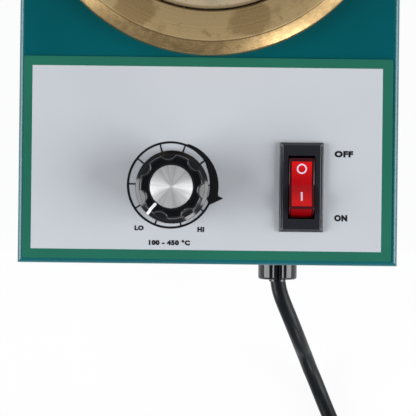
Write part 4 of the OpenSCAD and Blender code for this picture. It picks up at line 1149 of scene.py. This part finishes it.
class SOLDERPOT_OT_rocker_switch(bpy.types.Operator):
    """Bezel and red rocker with its marks"""
    bl_idname = "solderpot.rocker_switch"
    bl_label = "Rocker switch"

    WIDTH = 8.6
    FACE_WIDTH = 6.85
    REACH = 10.4                # radius of the rocker's ends about its pivot
    PIN, PIN_REACH = 1.1, 6.7   # radius and half length of the pivot pins
    LIFT = 0.06                 # how far the face stands over the shell
    BEAD = 0.42                 # radius of the bezel's edge beads
    MARK = (-0.1, 0.05)         # depth and height of the marks in the face
    RING_AT, RING, STROKE = 5.5, 1.72, 0.5
    BAR = (0.31, -5.55, -2.45)  # half width, front end and rear end

    def placed(self, solid):
        """A solid about the pivot, tilted as the rocker rests."""
        turn = Matrix.Rotation(-self.look.tilt, 3, "X")
        return [tuple(PIVOT_AT + turn @ Vector(p)) for p in solid[0]], solid[1]

    def along(self, section, half, edge=0.0):
        """Solid of a (y, z) section along X, its end corners drawn in by edge."""
        mid = sum((Vector(p) for p in section), Vector((0, 0))) / len(section)
        sections = []
        for x, inset in ((-half, edge), (-half + edge, 0), (half - edge, 0), (half, edge)):
            pulls = [(Vector(p) - mid).normalized() * inset for p in section]
            sections.append([(x, y - pull.x, z - pull.y) for (y, z), pull in zip(section, pulls)])
        return lofted(sections)

    def add_part(self, name, solid, material, smooth, replaced=()):
        add_piece(name, self.placed(solid), material, "rocker", replaced,
                  smooth)

    def execute(self, context):
        self.look = look = context.scene.solder_pot_switch
        nylon = moulded_black("moulded_nylon", look.housing_colour, 0.34, 1.1, 0.012, 0.5)
        dress(nylon, "switch_housing")
        self.add_beads(nylon)
        r, slope, lift = self.REACH, tan(look.tilt), self.LIFT
        half, end = 0.77 * r, 0.48 * r
        middle_z = end - half * slope
        shell = [(-half, end), (-0.3, middle_z + 0.02), (0.3, middle_z + 0.02), (half, end - 0.1),
                 (half + 1.22, end - 0.38), (half + 1.55, end - 1.2), (0.988 * r, -0.13 * r),
                 (0.85 * r, -0.4 * r), (0, -0.58 * r), (-0.85 * r, -0.4 * r),
                 (-0.988 * r, -0.13 * r), (-half - 0.35, end - 0.35)]
        skin, faces = turned([(0, -self.PIN_REACH), (self.PIN, -self.PIN_REACH),
                              (self.PIN, self.PIN_REACH), (0, self.PIN_REACH)], (0, 0), 32)
        pins = [(z, x, y) for x, y, z in skin], faces
        dark = red_lens("rocker_shell", look.shell_colour, look.shell_colour, -80, -66)
        self.add_part("rocker", join(self.along(shell, self.WIDTH / 2, 0.25), pins), dark, 25,
                      ("switch_rocker",))
        face = [(-half + 0.45, end - 0.45 * slope + lift), (0, middle_z + lift),
                (half - 0.05, end + lift), (half - 0.05, end - 0.3), (0, middle_z - 0.3),
                (-half + 0.45, end - 0.4)]
        # the face carries painted shade towards its fold
        red = red_lens("red_polycarbonate", look.lens_colour, look.fold_shade_colour,
                       PIVOT_AT.y - 6.4, PIVOT_AT.y + 8.8)
        self.add_part("rocker_face", self.along(face, self.FACE_WIDTH / 2), red, 15)
        cap = [(-half - 0.45, end - 0.5), (-0.988 * r - 0.03, -0.13 * r),
               (-0.988 * r + 0.3, -0.13 * r), (-half - 0.1, end - 0.6)]
        deep = red_lens("red_end", look.end_colour, look.end_colour, -84, -80)
        self.add_part("rocker_end", self.along(cap, self.FACE_WIDTH / 2), deep, 15)
        self.add_marks(middle_z + lift, slope)
        return {"FINISHED"}

    def add_beads(self, material):
        """Half-round beads that soften the bezel's long sloping sides."""
        low, high = corners("switch_housing")
        half = (high.y - low.y) / 2 - 1.3
        r = self.BEAD
        profile = ([(0, -half)] + arc((0, -half + r), r, -60, 0, 2)
                   + arc((0, half - r), r, 0, 60, 2) + [(0, half)])
        skin, faces = turned(profile, (0, 0), 24)
        y, z = (low.y + high.y) / 2, PANEL_Z + 1.22
        beads = [([(x + u, y + w, z + v) for u, v, w in skin], faces)
                 for x in (low.x + 0.66, high.x - 0.66)]
        add_piece("bezel_beads", join(*beads), material, smooth=60)

    def add_marks(self, fold_z, slope):
        """Ring for off on the rear half, bar for on at the front."""
        white = print_ink("mark_ink", linear("#eadcf0"))
        low, high = self.MARK
        outer, inner = self.RING, self.RING - self.STROKE
        half, front, rear = self.BAR
        marks = {
            "rocker_off_mark": turned([(inner, low), (outer, low), (outer, high), (inner, high)],
                                      (0, self.RING_AT), 64, closed=True),
            "rocker_on_mark": prism([(-half, front), (half, front), (half, rear), (-half, rear)],
                                    low, high),
        }
        for name, (points, faces) in marks.items():
            points = [(x, y, fold_z + abs(y) * slope + z) for x, y, z in points]
            self.add_part(name, (points, faces), white, 30)


class SOLDERPOT_OT_control_board(bpy.types.Operator):
    """Circuit board with its parts and the wiring"""
    bl_idname = "solderpot.control_board"
    bl_label = "Control board"

    def execute(self, context):
        look = context.scene.solder_pot_board
        dress(circuit_laminate(look.mask_colour), "control_board")
        dress(zinc_plate(linear("#b4b7ba")), "heat_sink")
        dress(moulded_plastic("yellow_film", linear("#c29a33"), 0.3), "film_capacitor")
        dress(moulded_plastic("green_polyamide", linear("#2e7d45")), "terminal_block")
        dress(moulded_plastic("brown_insulation", linear("#7a4a28"), 0.5), "control_leads",
              "switch_leads", "mains_cores")
        dress(glass_braid(linear("#e6e0d6")), "heater_leads", "sensor_lead")
        return {"FINISHED"}


class SOLDERPOT_PT_pieces(bpy.types.Panel):
    """Lists the solder pot's pieces"""
    bl_idname = "SOLDERPOT_PT_pieces"
    bl_label = "Solder Pot"
    bl_space_type = "VIEW_3D"
    bl_region_type = "UI"
    bl_category = "Solder Pot"

    def draw(self, context):
        for operator in OPERATORS:
            self.layout.operator(operator.bl_idname)
        for name, group in SETTINGS.items():
            box = self.layout.box()
            for setting in group.__annotations__:
                box.prop(getattr(context.scene, name), setting)


SETTINGS = {
    "solder_pot_stage": StageSettings,
    "solder_pot_lead": LeadSettings,
    "solder_pot_housing": HousingSettings,
    "solder_pot_panel": PanelSettings,
    "solder_pot_collar": CollarSettings,
    "solder_pot_pot": PotSettings,
    "solder_pot_knob": KnobSettings,
    "solder_pot_switch": SwitchSettings,
    "solder_pot_board": BoardSettings,
}
OPERATORS = (
    SOLDERPOT_OT_stage,
    SOLDERPOT_OT_mains_lead,
    SOLDERPOT_OT_housing,
    SOLDERPOT_OT_front_panel,
    SOLDERPOT_OT_brass_collar,
    SOLDERPOT_OT_melting_pot,
    SOLDERPOT_OT_dial_knob,
    SOLDERPOT_OT_dial_control,
    SOLDERPOT_OT_rocker_switch,
    SOLDERPOT_OT_control_board,
)


def register():
    for cls in (*SETTINGS.values(), *OPERATORS, SOLDERPOT_PT_pieces):
        bpy.utils.register_class(cls)
    for name, group in SETTINGS.items():
        setattr(bpy.types.Scene, name, PointerProperty(type=group))


def unregister():
    for name in SETTINGS:
        delattr(bpy.types.Scene, name)
    for cls in reversed((*SETTINGS.values(), *OPERATORS, SOLDERPOT_PT_pieces)):
        bpy.utils.unregister_class(cls)


def main():
    register()
    for operator in OPERATORS:
        getattr(bpy.ops.solderpot, operator.bl_idname.split(".")[1])()
    bpy.context.view_layer.update()


if __name__ == "__main__":
    main()
